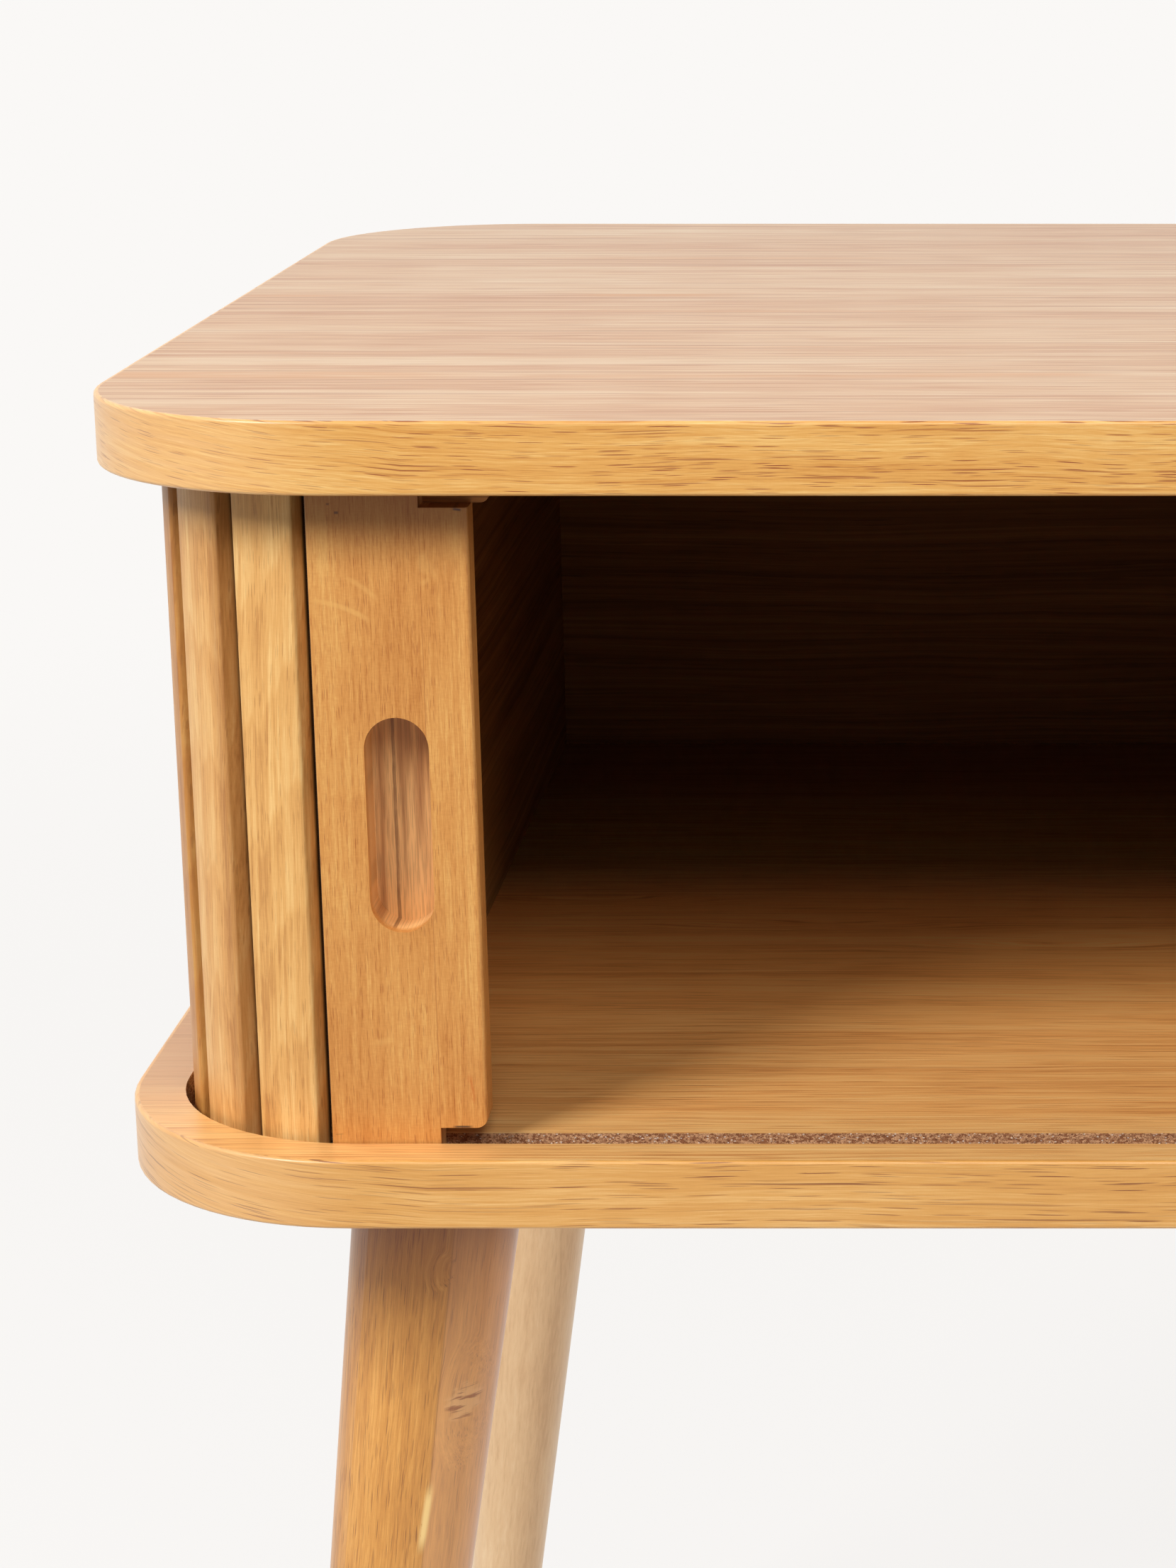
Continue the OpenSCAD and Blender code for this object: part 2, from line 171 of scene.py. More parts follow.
class Graph:
    """The nodes of one material or world, with short names for those used here."""

    def __init__(self, owner):
        owner.use_nodes = True
        self.owner = owner
        self.tree = owner.node_tree
        self.tree.nodes.clear()

    def node(self, kind, **settings):
        made = self.tree.nodes.new("ShaderNode" + kind)
        for key, value in settings.items():
            setattr(made, key, value)
        return made

    def feed(self, socket, value):
        if isinstance(value, Field):
            self.tree.links.new(value.socket, socket)
        else:
            socket.default_value = value

    def make(self, kind, output, sockets, **settings):
        """One output of a new node, whose sockets are fed these values."""
        made = self.node(kind, **settings)
        for key, value in sockets.items():
            self.feed(made.inputs[key], value)
        return Field(self, made.outputs[output])

    def math(self, operation, *values):
        return self.make("Math", 0, dict(enumerate(values)), operation=operation)

    def lowest(self, a, b):
        return self.math("MINIMUM", a, b)

    def highest(self, a, b):
        return self.math("MAXIMUM", a, b)

    def size(self, a):
        return self.math("ABSOLUTE", a)

    def above(self, a, limit):
        return self.math("GREATER_THAN", a, limit)

    def choose(self, test, yes, no):
        """yes where test is 1, and no where it is 0."""
        return test * yes + (1.0 - test) * no

    def rise(self, value, low, high):
        """0 below low, 1 above high, smooth between them. high may be the lower one."""
        sockets = {"Value": value, "From Min": low, "From Max": high}
        return self.make("MapRange", "Result", sockets, interpolation_type="SMOOTHSTEP")

    def vector(self, x, y, z):
        return self.make("CombineXYZ", 0, {"X": x, "Y": y, "Z": z})

    def split(self, vector, scale=1.0):
        made = self.node("SeparateXYZ")
        self.feed(made.inputs[0], vector)
        return [Field(self, socket) * scale for socket in made.outputs]

    def place(self):
        """The point of the surface at rest, as x, y and z in millimetres."""
        return self.split(Field(self, self.node("TexCoord").outputs["Object"]), 1 / MM)

    def attribute(self, name):
        """The three numbers that the mesh stores under a name."""
        made = self.node("Attribute", attribute_name=name)
        return self.split(Field(self, made.outputs["Vector"]))

    def noise(self, u, v, w, detail=2.0, roughness=0.5):
        """Smooth noise from 0 to 1 with features about one unit long."""
        place = self.vector(u, v, w)
        sockets = {"Vector": place, "Scale": 1.0, "Detail": detail, "Roughness": roughness}
        return self.make("TexNoise", 0, sockets, noise_dimensions="3D")

    def grain(self, a, b, grain, **settings):
        """Noise over a surface. grain is its features' size along a and b, and its layer."""
        size_a, size_b, layer = grain
        return self.noise(a / size_a, b / size_b, layer, **settings)

    def cells(self, u, v, w):
        """How far the nearest of scattered points is, one to a unit, and its random colour."""
        made = self.node("TexVoronoi", voronoi_dimensions="3D", feature="F1")
        self.feed(made.inputs["Vector"], self.vector(u, v, w))
        made.inputs["Scale"].default_value = 1.0
        return Field(self, made.outputs["Distance"]), Field(self, made.outputs["Color"])

    def random(self, seed):
        return self.make("TexWhiteNoise", "Value", {"W": seed}, noise_dimensions="1D")

    def mix(self, share, a, b, blend="MIX"):
        """Colour a where share is 0 and b where it is 1."""
        sockets = {"Factor": share, MIX_A: a, MIX_B: b}
        settings = {"data_type": "RGBA", "blend_type": blend, "clamp_factor": True}
        return self.make("Mix", MIX_RESULT, sockets, **settings)

    def tint(self, share, colour, filtered):
        """The colour, multiplied by another one as far as share says."""
        return self.mix(share, colour, self.mix(1.0, colour, filtered, blend="MULTIPLY"))

    def scale(self, colour, factor):
        """The colour times one value."""
        return self.make("VectorMath", 0, {0: colour, "Scale": factor}, operation="SCALE")

    def surface(self, colour, roughness, height, depth, **values):
        """Ends the material. height is from 0 to 1 and depth is its size in millimetres."""
        made = self.node("BsdfPrincipled")
        self.feed(made.inputs["Base Color"], colour)
        self.feed(made.inputs["Roughness"], roughness)
        for key, value in values.items():
            made.inputs[key].default_value = value
        bump = self.node("Bump")
        bump.inputs["Strength"].default_value = 1.0
        bump.inputs["Distance"].default_value = depth * MM
        self.feed(bump.inputs["Height"], height)
        self.tree.links.new(bump.outputs[0], made.inputs["Normal"])
        out = self.node("OutputMaterial")
        self.tree.links.new(made.outputs[0], out.inputs[0])
        return self.owner


def material(name):
    return Graph(bpy.data.materials.new(name))


# ---- Oak ----


class Oak:
    """How one kind of oak looks: its colours, then lengths in millimetres and strengths."""

    def __init__(self, light, mid, dark, pore, **changes):
        self.light, self.mid, self.dark, self.pore = light, mid, dark, pore
        # How far the fibres stray sideways, and over what length
        self.wander, self.wander_len = 4.0, 160.0
        # Width and strength of the broad bands, of the streaks in them and of the fibres
        self.band, self.band_share = 8.0, 0.4
        self.streak, self.streak_len, self.streak_share = 1.2, 90.0, 0.3
        self.fibre, self.fibre_len, self.fibre_share = 0.3, 16.0, 0.3
        # Rings round the tree's heart, which lies this far under the surface, or 0 for none
        self.heart, self.taper, self.ring, self.ring_share = 0.0, 0.03, 5.0, 0.4
        # Length, spacing and strength of fine pores, long dark dashes and long thin lines
        self.pore_len, self.pore_gap, self.pore_share = 12.0, 0.6, 0.4
        self.dash_len, self.dash_gap, self.dash_share = 80.0, 0.9, 0.0
        self.line_len, self.line_gap, self.line_share = 260.0, 1.7, 0.0
        # Strength of the slow changes and of the fine rays that lie across the fibres
        self.cloud_share, self.ray_share = 0.2, 0.0
        self.roughness, self.specular, self.coat = 0.42, 0.5, 0.0
        for key, value in changes.items():
            assert hasattr(self, key), key
            setattr(self, key, value)


# Sizes that all oak shares, in millimetres
WANDER_WIDE = 40
BAND_LEN = 400
CLOUD_LEN, CLOUD_WIDE = 60, 22
RAY_LEN, RAY_WIDE = 0.45, 1.8
# What full strength adds to the tone, for bands and streaks and for finer figure
BROAD_SWING, FINE_SWING = 2.6, 2.2
# The tones over which light turns to mid and mid to dark
TO_MID, TO_DARK = (0.05, 0.55), (0.45, 1.0)
# A ring darkens slowly and ends sharply, and the bands bend it
RING_DARKENS, RING_ENDS, RING_BEND = (0.1, 0.85), (1.0, 0.88), 1.2
DASH_EDGE, DASH_STRENGTH = (0.34, 0.2), (0.0, 0.7)
# The wood in which pores crowd, and in which dashes lie
CROWDED_WOOD, DASHED_WOOD = (0.42, 0.56), (0.4, 0.55)
LINE_EDGE = (0.58, 0.72)
# Shifts one kind of mark against another
ELSEWHERE = 31.0
# What pores and fibres add to the roughness and to the height
PORE_ROUGHNESS, FIBRE_ROUGHNESS = 0.1, 0.1
PORE_DEPTH, FIBRE_HEIGHT = 0.4, 0.3
OAK_RELIEF = 0.05
COAT_ROUGHNESS = 0.28


def dashes(g, u, v, w, length, gap, share):
    """Slender dark dashes, each with its own strength."""
    near, own = g.cells(u / length, v / gap, w / gap)
    return g.rise(near, *DASH_EDGE) * g.rise(g.split(own)[0], *DASH_STRENGTH) * share


def oak(g, u, v, w, look):
    """Colour, roughness and height of oak whose fibres run along u."""
    wander = g.noise(u / look.wander_len, v / WANDER_WIDE, w / WANDER_WIDE) - 0.5
    v = v + wander * (2 * look.wander)
    band = g.noise(u / BAND_LEN, v / look.band, w / look.band, roughness=0.6)
    streak = g.noise(u / look.streak_len, v / look.streak, w / look.streak, roughness=0.65)
    fibre = g.noise(u / look.fibre_len, v / look.fibre, w / look.fibre, roughness=0.7)
    cloud = g.noise(u / CLOUD_LEN, v / CLOUD_WIDE, w / CLOUD_WIDE)
    tone = (
        0.5
        + (band - 0.5) * (BROAD_SWING * look.band_share)
        + (streak - 0.5) * (BROAD_SWING * look.streak_share)
        + (fibre - 0.5) * (FINE_SWING * look.fibre_share)
        + (cloud - 0.5) * (FINE_SWING * look.cloud_share)
    )
    if look.ray_share:
        ray = g.noise(u / RAY_LEN, v / RAY_WIDE, w / RAY_WIDE, roughness=0.6)
        tone = tone + (ray - 0.5) * (FINE_SWING * look.ray_share)
    if look.heart:
        deep = w + u * look.taper + look.heart
        turns = g.math("SQRT", v * v + deep * deep) / look.ring + band * RING_BEND
        ring = g.math("FRACT", turns)
        dark_ring = g.rise(ring, *RING_DARKENS) * g.rise(ring, *RING_ENDS)
        tone = tone + (dark_ring - 0.5) * look.ring_share
    colour = g.mix(g.rise(tone, *TO_MID), look.light, look.mid)
    colour = g.mix(g.rise(tone, *TO_DARK), colour, look.dark)
    crowd = 0.5 + 0.5 * g.rise(streak * 0.5 + band * 0.5, *CROWDED_WOOD)
    pores = dashes(g, u, v, w, look.pore_len, look.pore_gap, look.pore_share) * crowd
    if look.dash_share:
        long = dashes(g, u + ELSEWHERE, v, w, look.dash_len, look.dash_gap, look.dash_share)
        pores = g.highest(pores, long * g.rise(band, *DASHED_WOOD))
    if look.line_share:
        across, deep = v / look.line_gap + ELSEWHERE, w / look.line_gap
        line = g.noise(u / look.line_len, across, deep, detail=1.0)
        pores = g.highest(pores, g.rise(line, *LINE_EDGE) * look.line_share)
    colour = g.mix(pores, colour, look.pore)
    roughness = look.roughness + pores * PORE_ROUGHNESS + (fibre - 0.5) * FIBRE_ROUGHNESS
    height = fibre * FIBRE_HEIGHT - pores * PORE_DEPTH
    return colour, roughness, height


def finish_oak(g, parts, look):
    """Ends a material from the colour, roughness and height of its oak."""
    sockets = {
        "Specular IOR Level": look.specular,
        "Coat Weight": look.coat,
        "Coat Roughness": COAT_ROUGHNESS,
    }
    return g.surface(*parts, OAK_RELIEF, **sockets)


# The shares of a patch's length and width within which it is full
CORE_LEN, CORE_WIDE = 0.4, 0.2


def patch(g, a, b, middle_a, middle_b, half_len, half_wide, angle=0.0, bend=0.0):
    """1 inside a slender patch of a surface, with soft ends and edges, and 0 outside it."""
    turn = math.radians(angle)
    da, db = a - middle_a, b - middle_b
    along = da * math.cos(turn) + db * math.sin(turn)
    off = db * math.cos(turn) - da * math.sin(turn)
    off = off - along * along * bend
    within_len = g.rise(g.size(along), half_len, CORE_LEN * half_len)
    return within_len * g.rise(g.size(off), half_wide, CORE_WIDE * half_wide)


def oval(a, b, middle_a, middle_b, half_a, half_b):
    """0 in the middle of an oval on a surface, 1 on its edge and more outside it."""
    da, db = (a - middle_a) / half_a, (b - middle_b) / half_b
    return da * da + db * db


TOP_OAK = Oak(
    rgb(220, 187, 146), rgb(206, 156, 102), rgb(184, 116, 50), rgb(156, 80, 14),
    band=16.0, streak=1.0, streak_len=200.0, streak_share=0.8,
    fibre=0.36, fibre_len=40.0, fibre_share=0.9, wander=5.0, wander_len=260.0,
    pore_len=36.0, pore_gap=0.75, pore_share=0.75,
    line_len=240.0, line_gap=1.4, line_share=0.7, roughness=0.36, coat=0.28,
)
BOTTOM_OAK = Oak(
    rgb(248, 202, 134), rgb(240, 182, 110), rgb(212, 148, 84), rgb(166, 102, 54),
    band=12.0, band_share=0.35, streak=0.9, streak_len=160.0, streak_share=0.6,
    fibre_len=26.0, fibre_share=0.85, wander=6.0, wander_len=220.0,
    pore_len=24.0, pore_share=0.6,
    line_len=200.0, line_gap=1.1, line_share=0.3, roughness=0.4, coat=0.3,
)
EDGE_OAK = Oak(
    rgb(244, 198, 122), rgb(228, 168, 86), rgb(204, 136, 56), rgb(142, 66, 8),
    band=7.0, band_share=0.3, streak=0.8, streak_len=50.0, streak_share=0.4,
    fibre=0.2, fibre_len=8.0, fibre_share=0.5, wander=2.2, wander_len=80.0,
    pore_gap=0.42, pore_share=1.0,
    dash_len=34.0, dash_gap=0.6, dash_share=0.85, ray_share=0.03, roughness=0.36, coat=0.35,
)
LOW_EDGE_OAK = Oak(
    rgb(242, 192, 120), rgb(224, 163, 84), rgb(200, 136, 62), rgb(132, 72, 30),
    band=6.0, band_share=0.3, streak=0.8, streak_len=60.0, streak_share=0.35,
    fibre=0.22, fibre_len=10.0, fibre_share=0.35, wander=2.6, wander_len=110.0,
    pore_len=20.0, pore_gap=0.5, pore_share=0.95,
    dash_gap=0.7, dash_share=0.95, ray_share=0.03, roughness=0.36, coat=0.35,
)
SLAT_OAK = Oak(
    rgb(243, 199, 129), rgb(226, 170, 98), rgb(196, 137, 72), rgb(146, 90, 40),
    band=5.0, streak=0.7, streak_len=60.0, streak_share=0.36,
    fibre=0.2, fibre_len=10.0, fibre_share=0.45, wander=3.0, wander_len=110.0,
    pore_len=7.0, pore_gap=0.42,
    heart=26.0, taper=0.1, ring=3.0, ring_share=0.2, cloud_share=0.16, ray_share=0.05,
)
LEAD_OAK = Oak(
    rgb(231, 174, 97), rgb(214, 148, 75), rgb(190, 120, 51), rgb(156, 80, 26),
    band=7.0, band_share=0.22, streak=0.6, streak_len=18.0, streak_share=0.4,
    fibre=0.18, fibre_len=3.5, fibre_share=0.45, wander=1.0,
    pore_len=5.5, pore_gap=0.34, pore_share=0.6,
    cloud_share=0.4, ray_share=0.14, roughness=0.5,
)
# Oak for the compartment's walls, ceiling and back, painted darker for the deep shade inside it
WALL_OAK = Oak(
    rgb(158, 114, 68), rgb(137, 93, 50), rgb(110, 70, 34), rgb(74, 42, 18),
    band=10.0, band_share=0.5, streak=2.2, streak_len=260.0, streak_share=0.55,
    fibre=0.6, fibre_len=70.0, wander=6.0, wander_len=220.0,
    pore_len=30.0, pore_gap=0.9, line_share=0.28,
    roughness=0.6, specular=0.2,
)
LEG_OAK = Oak(
    rgb(232, 171, 90), rgb(210, 146, 68), rgb(178, 114, 50), rgb(124, 70, 28),
    band=5.0, band_share=0.35, streak=0.7, streak_len=34.0, streak_share=0.42,
    fibre=0.22, fibre_len=8.0, fibre_share=0.35, wander=3.0, wander_len=110.0,
    pore_len=14.0, pore_gap=0.5, pore_share=0.7,
    dash_len=50.0, dash_gap=0.7, dash_share=0.4,
    cloud_share=0.35, ray_share=0.04, roughness=0.4, coat=0.4,
)
# The rear legs' oak, painted paler for the light from behind that washes them out
BACKLIT_REAR_LEG_OAK = Oak(
    rgb(248, 216, 172), rgb(238, 200, 152), rgb(222, 180, 132), rgb(196, 152, 106),
    band=9.0, band_share=0.3, streak=1.8, streak_len=16.0,
    fibre=0.8, fibre_len=5.0, fibre_share=0.25, wander=3.0, wander_len=150.0,
    pore_len=14.0, pore_gap=0.9, pore_share=0.2, cloud_share=0.35, coat=0.35,
)
# What the wood turns to where the board above has kept the light off it
SHADED = rgb(94, 42, 6)


# ---- The boards and the walls ----


def perimeter(g, x, y, radius):
    """How far along a line with rounded corners a point lies, either way from its front."""
    out = g.size(x)
    past = g.highest(out - HALF_X, 0.0)
    behind = g.above(y, 0.0)
    front_turn = g.math("ARCTAN2", past, g.highest(-HALF_Y - y, 0.0))
    rear_turn = math.pi / 2 - g.math("ARCTAN2", past, g.highest(y - HALF_Y, 0.0))
    turn = g.choose(behind, math.pi / 2 + rear_turn, front_turn)
    straight = g.lowest(out, HALF_X)
    straight = g.choose(behind, 2 * HALF_X - straight, straight)
    side = g.lowest(g.highest(y + HALF_Y, 0.0), 2 * HALF_Y)
    return straight + side + turn * radius


# Orange streaks on the top: along, back, half length, half width, strength
TOP_STREAKS = (
    (-100.0, 18.2, 30.0, 4.0, 1.0),
    (-212.0, 16.4, 20.0, 3.2, 0.9),
    (-190.0, -156.0, 70.0, 9.0, 1.0),
    (-60.0, -158.0, 90.0, 4.0, 0.7),
    (5.0, -154.7, 36.0, 4.2, 0.9),
    (-60.0, -22.0, 90.0, 2.4, 0.6),
    (-90.0, 120.0, 70.0, 4.0, 0.6),
)
STREAK_COLOUR, STREAK_SHARE = rgb(202, 134, 56), 0.8
STREAK_GRAIN, STREAK_EDGE = (30, 1.4, 0.0), (0.3, 0.5)


def board_material(name, look, along=0, across=1, inward=2, streaks=()):
    """Straight grain, whose directions are given as the numbers of X, Y and Z."""
    g = material(name)
    place = g.place()
    x, y, _ = place
    colour, roughness, height = oak(g, place[along], place[across], place[inward], look)
    for *spot, strength in streaks:
        frayed = g.rise(g.grain(x, y, STREAK_GRAIN), *STREAK_EDGE)
        here = patch(g, x, y, *spot) * frayed
        colour = g.mix(here * (STREAK_SHARE * strength), colour, STREAK_COLOUR)
    return finish_oak(g, (colour, roughness, height), look)


# Where the floor's figure swells, along, back, half length and half width, and how far
FLOOR_FIGURE = ((-118.0, -2.0, 46.0, 9.0), (-52.0, -30.0, 60.0, 10.0), (20.0, -52.0, 60.0, 9.0))
FLOOR_SWELL = 4.0
# The compartment's front edge, and its side edge past the corners' centres
INSIDE_FRONT, INSIDE_SIDE = (-212.0, -195.0), (22.0, 6.0)
# Painted warm bounce light inside the compartment, more so towards the back, and painted light
# that makes the wood lighter past the front
PAINTED_BOUNCE, PAINTED_BOUNCE_BACK = rgb(255, 231, 205), (-195.0, -60.0)
PAINTED_FILL, PAINTED_FILL_BACK = 0.16, (-170.0, -90.0)
# Further back the light is red from the wood that it met, so the wood is tinted against it.
# Painted shade darkens it at the very back. Tint, where it starts and where it is full:
DEEP_TINTS = (((0.58, 1.25, 2.40, 1.0), -10.0, 60.0), ((0.60, 0.35, 0.40, 1.0), 80.0, 170.0))
# The rim to the left of the curtain is browner
RIM_BROWN, RIM_SHARE = rgb(190, 146, 110), 0.7
RIM_SIDE, RIM_FRONT = (-200.0, -214.0), (-215.0, -160.0)


def floor_material(name, look):
    """The lower board's faces."""
    g = material(name)
    x, y, z = g.place()
    v = y
    for figure in FLOOR_FIGURE:
        v = v + g.rise(oval(x, y, *figure), 1.0, 0.0) * FLOOR_SWELL
    colour, roughness, height = oak(g, x, v, z, look)
    side = g.rise(g.size(x), *(HALF_X + past for past in INSIDE_SIDE))
    inside = g.rise(y, *INSIDE_FRONT) * side
    # Painted warm bounce light inside the compartment
    colour = g.tint(inside * (0.5 + 0.5 * g.rise(y, *PAINTED_BOUNCE_BACK)), colour, PAINTED_BOUNCE)
    # Painted light, which lifts the floor further back
    colour = g.scale(colour, 1.0 + PAINTED_FILL * g.rise(y, *PAINTED_FILL_BACK))
    # Tints against the red light, then painted shade at the very back
    for tint, start, full in DEEP_TINTS:
        colour = g.tint(g.rise(y, start, full), colour, tint)
    left_rim = g.rise(x, *RIM_SIDE) * g.rise(y, *RIM_FRONT)
    colour = g.mix(left_rim * RIM_SHARE, colour, RIM_BROWN)
    return finish_oak(g, (colour, roughness, height), look)


# Painted bounce light from the floor, low down on the side walls towards the front
WALL_BOUNCE_LIGHT, WALL_BOUNCE_LIGHT_SHARE = rgb(226, 188, 116), 0.85
WALL_BOUNCE_LIGHT_LOW, WALL_BOUNCE_LIGHT_FRONT = (490.0, 405.0), (60.0, -110.0)


def wall_material(name, look):
    """The side walls, with painted bounce light low down towards the front."""
    g = material(name)
    x, y, z = g.place()
    colour, roughness, height = oak(g, y, z, x, look)
    share = g.rise(z, *WALL_BOUNCE_LIGHT_LOW) * g.rise(y, *WALL_BOUNCE_LIGHT_FRONT) * WALL_BOUNCE_LIGHT_SHARE
    colour = g.mix(share, colour, g.mix(1.0, colour, WALL_BOUNCE_LIGHT, blend="SCREEN"))
    return finish_oak(g, (colour, roughness, height), look)


# On a board's edge the grain starts to sink before the corner, and sinks over this length
SINK_EARLY, SINK_LEN, SINK_SLOPE = 20.0, 110.0, 0.09
# Round the corner a painted sheen makes the wood paler, in a grain of its own
BAND_SHEEN, BAND_SHEEN_SHARE, BAND_SHEEN_RUN = rgb(238, 196, 148), 0.55, (-12.0, 40.0)
SHEEN_GRAIN, SHEEN_BASE, SHEEN_SWING = (30, 1.6, 4.0), 0.6, 0.8


def band_material(name, look):
    """Grain that runs round a board's edge and sinks at the corner, with a painted sheen that
    makes the sides paler.
    """
    g = material(name)
    x, y, z = g.place()
    run = perimeter(g, x, y, CORNER_R)
    past = g.lowest(g.highest(run - HALF_X + SINK_EARLY, 0.0), SINK_LEN)
    v = z - past * SINK_SLOPE
    colour, roughness, height = oak(g, run * g.math("SIGN", x), v, 0.0, look)
    grain = g.grain(run, v, SHEEN_GRAIN) - 0.5
    # Painted sheen of the pale surroundings, which makes the band paler on the sides
    painted_sheen = g.rise(run, *(HALF_X + past for past in BAND_SHEEN_RUN))
    painted_sheen = painted_sheen * (SHEEN_BASE + SHEEN_SWING * grain)
    colour = g.mix(painted_sheen * BAND_SHEEN_SHARE, colour, BAND_SHEEN)
    return finish_oak(g, (colour, roughness, height), look)


# ---- The slats ----

# The fixed and the paid-out slats' numbers start here, for wood of their own
FIXED_NUMBERS, PAID_NUMBERS, PAID_WOOD = 60.0, 100.0, 280.0


def slat_grain(g):
    """Grain up each slat, its place across the slat, how deep it lies and the slat's number.

    The curtain's tail reaches past the middle of the back, as far as the rear stile.
    """
    x, y, z = g.place()
    run = perimeter(g, x, y, LINE_R)
    right = g.above(x, 0.0)
    tail = g.above(y, HALF_Y) * right * g.above(REAR_STILE_X, x)
    run = g.choose(tail, LINE_LEN - run, run) - HALF_X - FIRST_SLAT
    number = g.math("FLOOR", run / SLAT_PITCH + 0.5)
    across = run - number * SLAT_PITCH
    number = number + FIXED_NUMBERS * right * (1.0 - tail)
    depth = g.math("SQRT", x * x + y * y)
    return z, across, depth, number


def paid_grain(g):
    """The same for the paid-out curtain, whose mesh stores it."""
    z = g.place()[2]
    across, out, number = g.attribute("grain")
    return z, across, PAID_WOOD + out, number


# How far a slat's own wood is shifted along, across and inwards, and how much its grain leans
WOOD_ALONG, WOOD_ACROSS, WOOD_DEEP = 900.0, 4.0, 7.0
DEPTH_SHARE, LEAN, LEAN_MIDDLE = 0.3, 0.06, 490.0
# The slats' tints. The warmth steps round the slats by a golden share, so it never repeats.
PALE_SLAT, TAN_SLAT, BROWN_SLAT = rgb(255, 255, 255), rgb(250, 246, 248), rgb(220, 200, 170)
WARMTH_STEP, WARMTH_START, TO_TAN, TO_BROWN = 0.381966, 0.1, (0.1, 0.5), (0.5, 0.9)
# The height over which the top board keeps the light off a slat
TUCKED = (548.0, 571.0)
TUCKED_DARK = 0.08
# How dark the painted shade in the narrow gaps makes a slat's sides, and where it starts, from
# its edge
SLAT_SIDE_SHADE, SLAT_SIDE_SHADE_STARTS = 0.05, (0.45, 0.15)
# How near a slat's number is to a mark's, so that the mark shows on that slat alone
SAME_SLAT = (0.6, 0.4)
# Pale flecks, and dark marks with a paleness below 0, on the first slats: slat, across, up,
# half length, half width, angle, paleness
SLAT_MARKS = (
    (1, 2.5, 556.8, 6.5, 0.55, 88.0, 0.55),
    (1, -0.3, 532.0, 8.5, 0.40, 92.0, 0.40),
    (1, 2.4, 434.5, 8.5, 0.45, 99.0, 0.60),
    (0, 7.2, 532.0, 3.5, 0.35, 100.0, -0.60),
    (0, -2.0, 500.0, 14.0, 0.50, 84.0, 0.25),
    # A long dark strip down the second slat's right side: painted shade where its face turns
    # from the lamp, and browner wood
    (1, -6.6, 490.0, 150.0, 2.4, 90.0, -0.30),
)


def slat_material(name, look, grain):
    """Each slat has its own piece of wood, its own slope of the grain and its own tint."""
    g = material(name)
    up, across, depth, number = grain(g)
    first, second = g.random(number), g.random(number + 0.5)
    u = up + first * WOOD_ALONG
    v = across + (up - LEAN_MIDDLE) * (second - 0.5) * LEAN + second * WOOD_ACROSS
    w = depth * DEPTH_SHARE + number * WOOD_DEEP
    colour, roughness, height = oak(g, u, v, w, look)
    warmth = g.math("FRACT", number * WARMTH_STEP + WARMTH_START)
    tint = g.mix(g.rise(warmth, *TO_TAN), PALE_SLAT, TAN_SLAT)
    tint = g.mix(g.rise(warmth, *TO_BROWN), tint, BROWN_SLAT)
    colour = g.mix(1.0, colour, tint, blend="MULTIPLY")
    for slat, *spot, paleness in SLAT_MARKS:
        here = patch(g, across, up, *spot) * g.rise(g.size(number - slat), *SAME_SLAT)
        colour = g.mix(here * abs(paleness), colour, look.light if paleness > 0 else look.pore)
    colour = g.scale(colour, 1.0 - g.rise(up, *TUCKED) * TUCKED_DARK)
    # Painted shade on each slat's sides, in the narrow gaps between slats
    side = g.rise(g.size(across), *(SLAT_W / 2 - inset for inset in SLAT_SIDE_SHADE_STARTS))
    colour = g.scale(colour, 1.0 - side * (1.0 - SLAT_SIDE_SHADE))
    return finish_oak(g, (colour, roughness, height), look)


# ---- The lead slat ----

# The strip glued to the lead slat's edge is cut from elsewhere, so far along and across
STRIP_ALONG, STRIP_ACROSS = 310.0, 53.0
SEAM_EDGE, SEAM_SHARE = (0.16, 0.05), 0.45
# Pale ripples beside the finger pull: across, up, half length, half width
RIPPLE = (-158.3, 500.2, 7.0, 7.0)
RIPPLE_PITCH, RIPPLE_SHARE = 1.25, 0.35
SWAY_GRAIN, SWAY = (6, 4, 0.0), 5.0
# Pale ray flecks: across, up, half length, half width, angle, bend, strength
LEAD_FLECKS = (
    (-156.8, 542.2, 9.5, 1.00, -20.0, -0.016, 0.55),
    (-151.6, 547.2, 6.0, 0.90, -36.0, -0.020, 0.36),
    (-136.9, 553.0, 3.6, 1.60, -85.0, 0.09, 0.36),
    (-134.6, 551.6, 3.4, 1.10, -68.0, 0.0, 0.26),
    (-136.2, 548.6, 1.8, 0.90, 35.0, 0.0, 0.30),
    (-150.5, 431.0, 3.5, 1.30, 10.0, 0.0, 0.35),
    (-140.5, 426.0, 5.5, 1.00, 62.0, 0.0, 0.25),
)
# Dark marks, and a speckled orange streak: across, up, half length, half width, angle, strength
LEAD_MARKS = (
    (-163.1, 406.3, 1.3, 0.22, 4.0, 0.3),
    (-162.7, 405.6, 1.0, 0.18, 85.0, 0.25),
    (-159.2, 567.7, 0.5, 0.35, 0.0, 0.7),
    (-157.2, 565.6, 0.7, 0.50, 0.0, 0.85),
    (-127.9, 566.4, 1.4, 0.50, -8.0, 1.0),
    (-131.8, 408.3, 3.0, 0.40, 0.0, 0.9),
)
LEAD_STREAK = (-129.2, 418.5, 4.6, 0.9, 98.0, 0.7)
SPECKLE_GRAIN, SPECKLE_EDGE = (0.5, 2.5, 0.0), (0.35, 0.6)
CHIPPED = rgb(46, 32, 28)
RUSTY = rgb(196, 104, 34)
LEAD_TUCKED_SHARE = 0.55
# Painted shade in the gap beside the first slat: the left side is dark, and so is this much of
# the face beside it
LEFT_SHADE_EDGE, LEFT_SHADE_DARK = (0.25, 0.02), 0.85
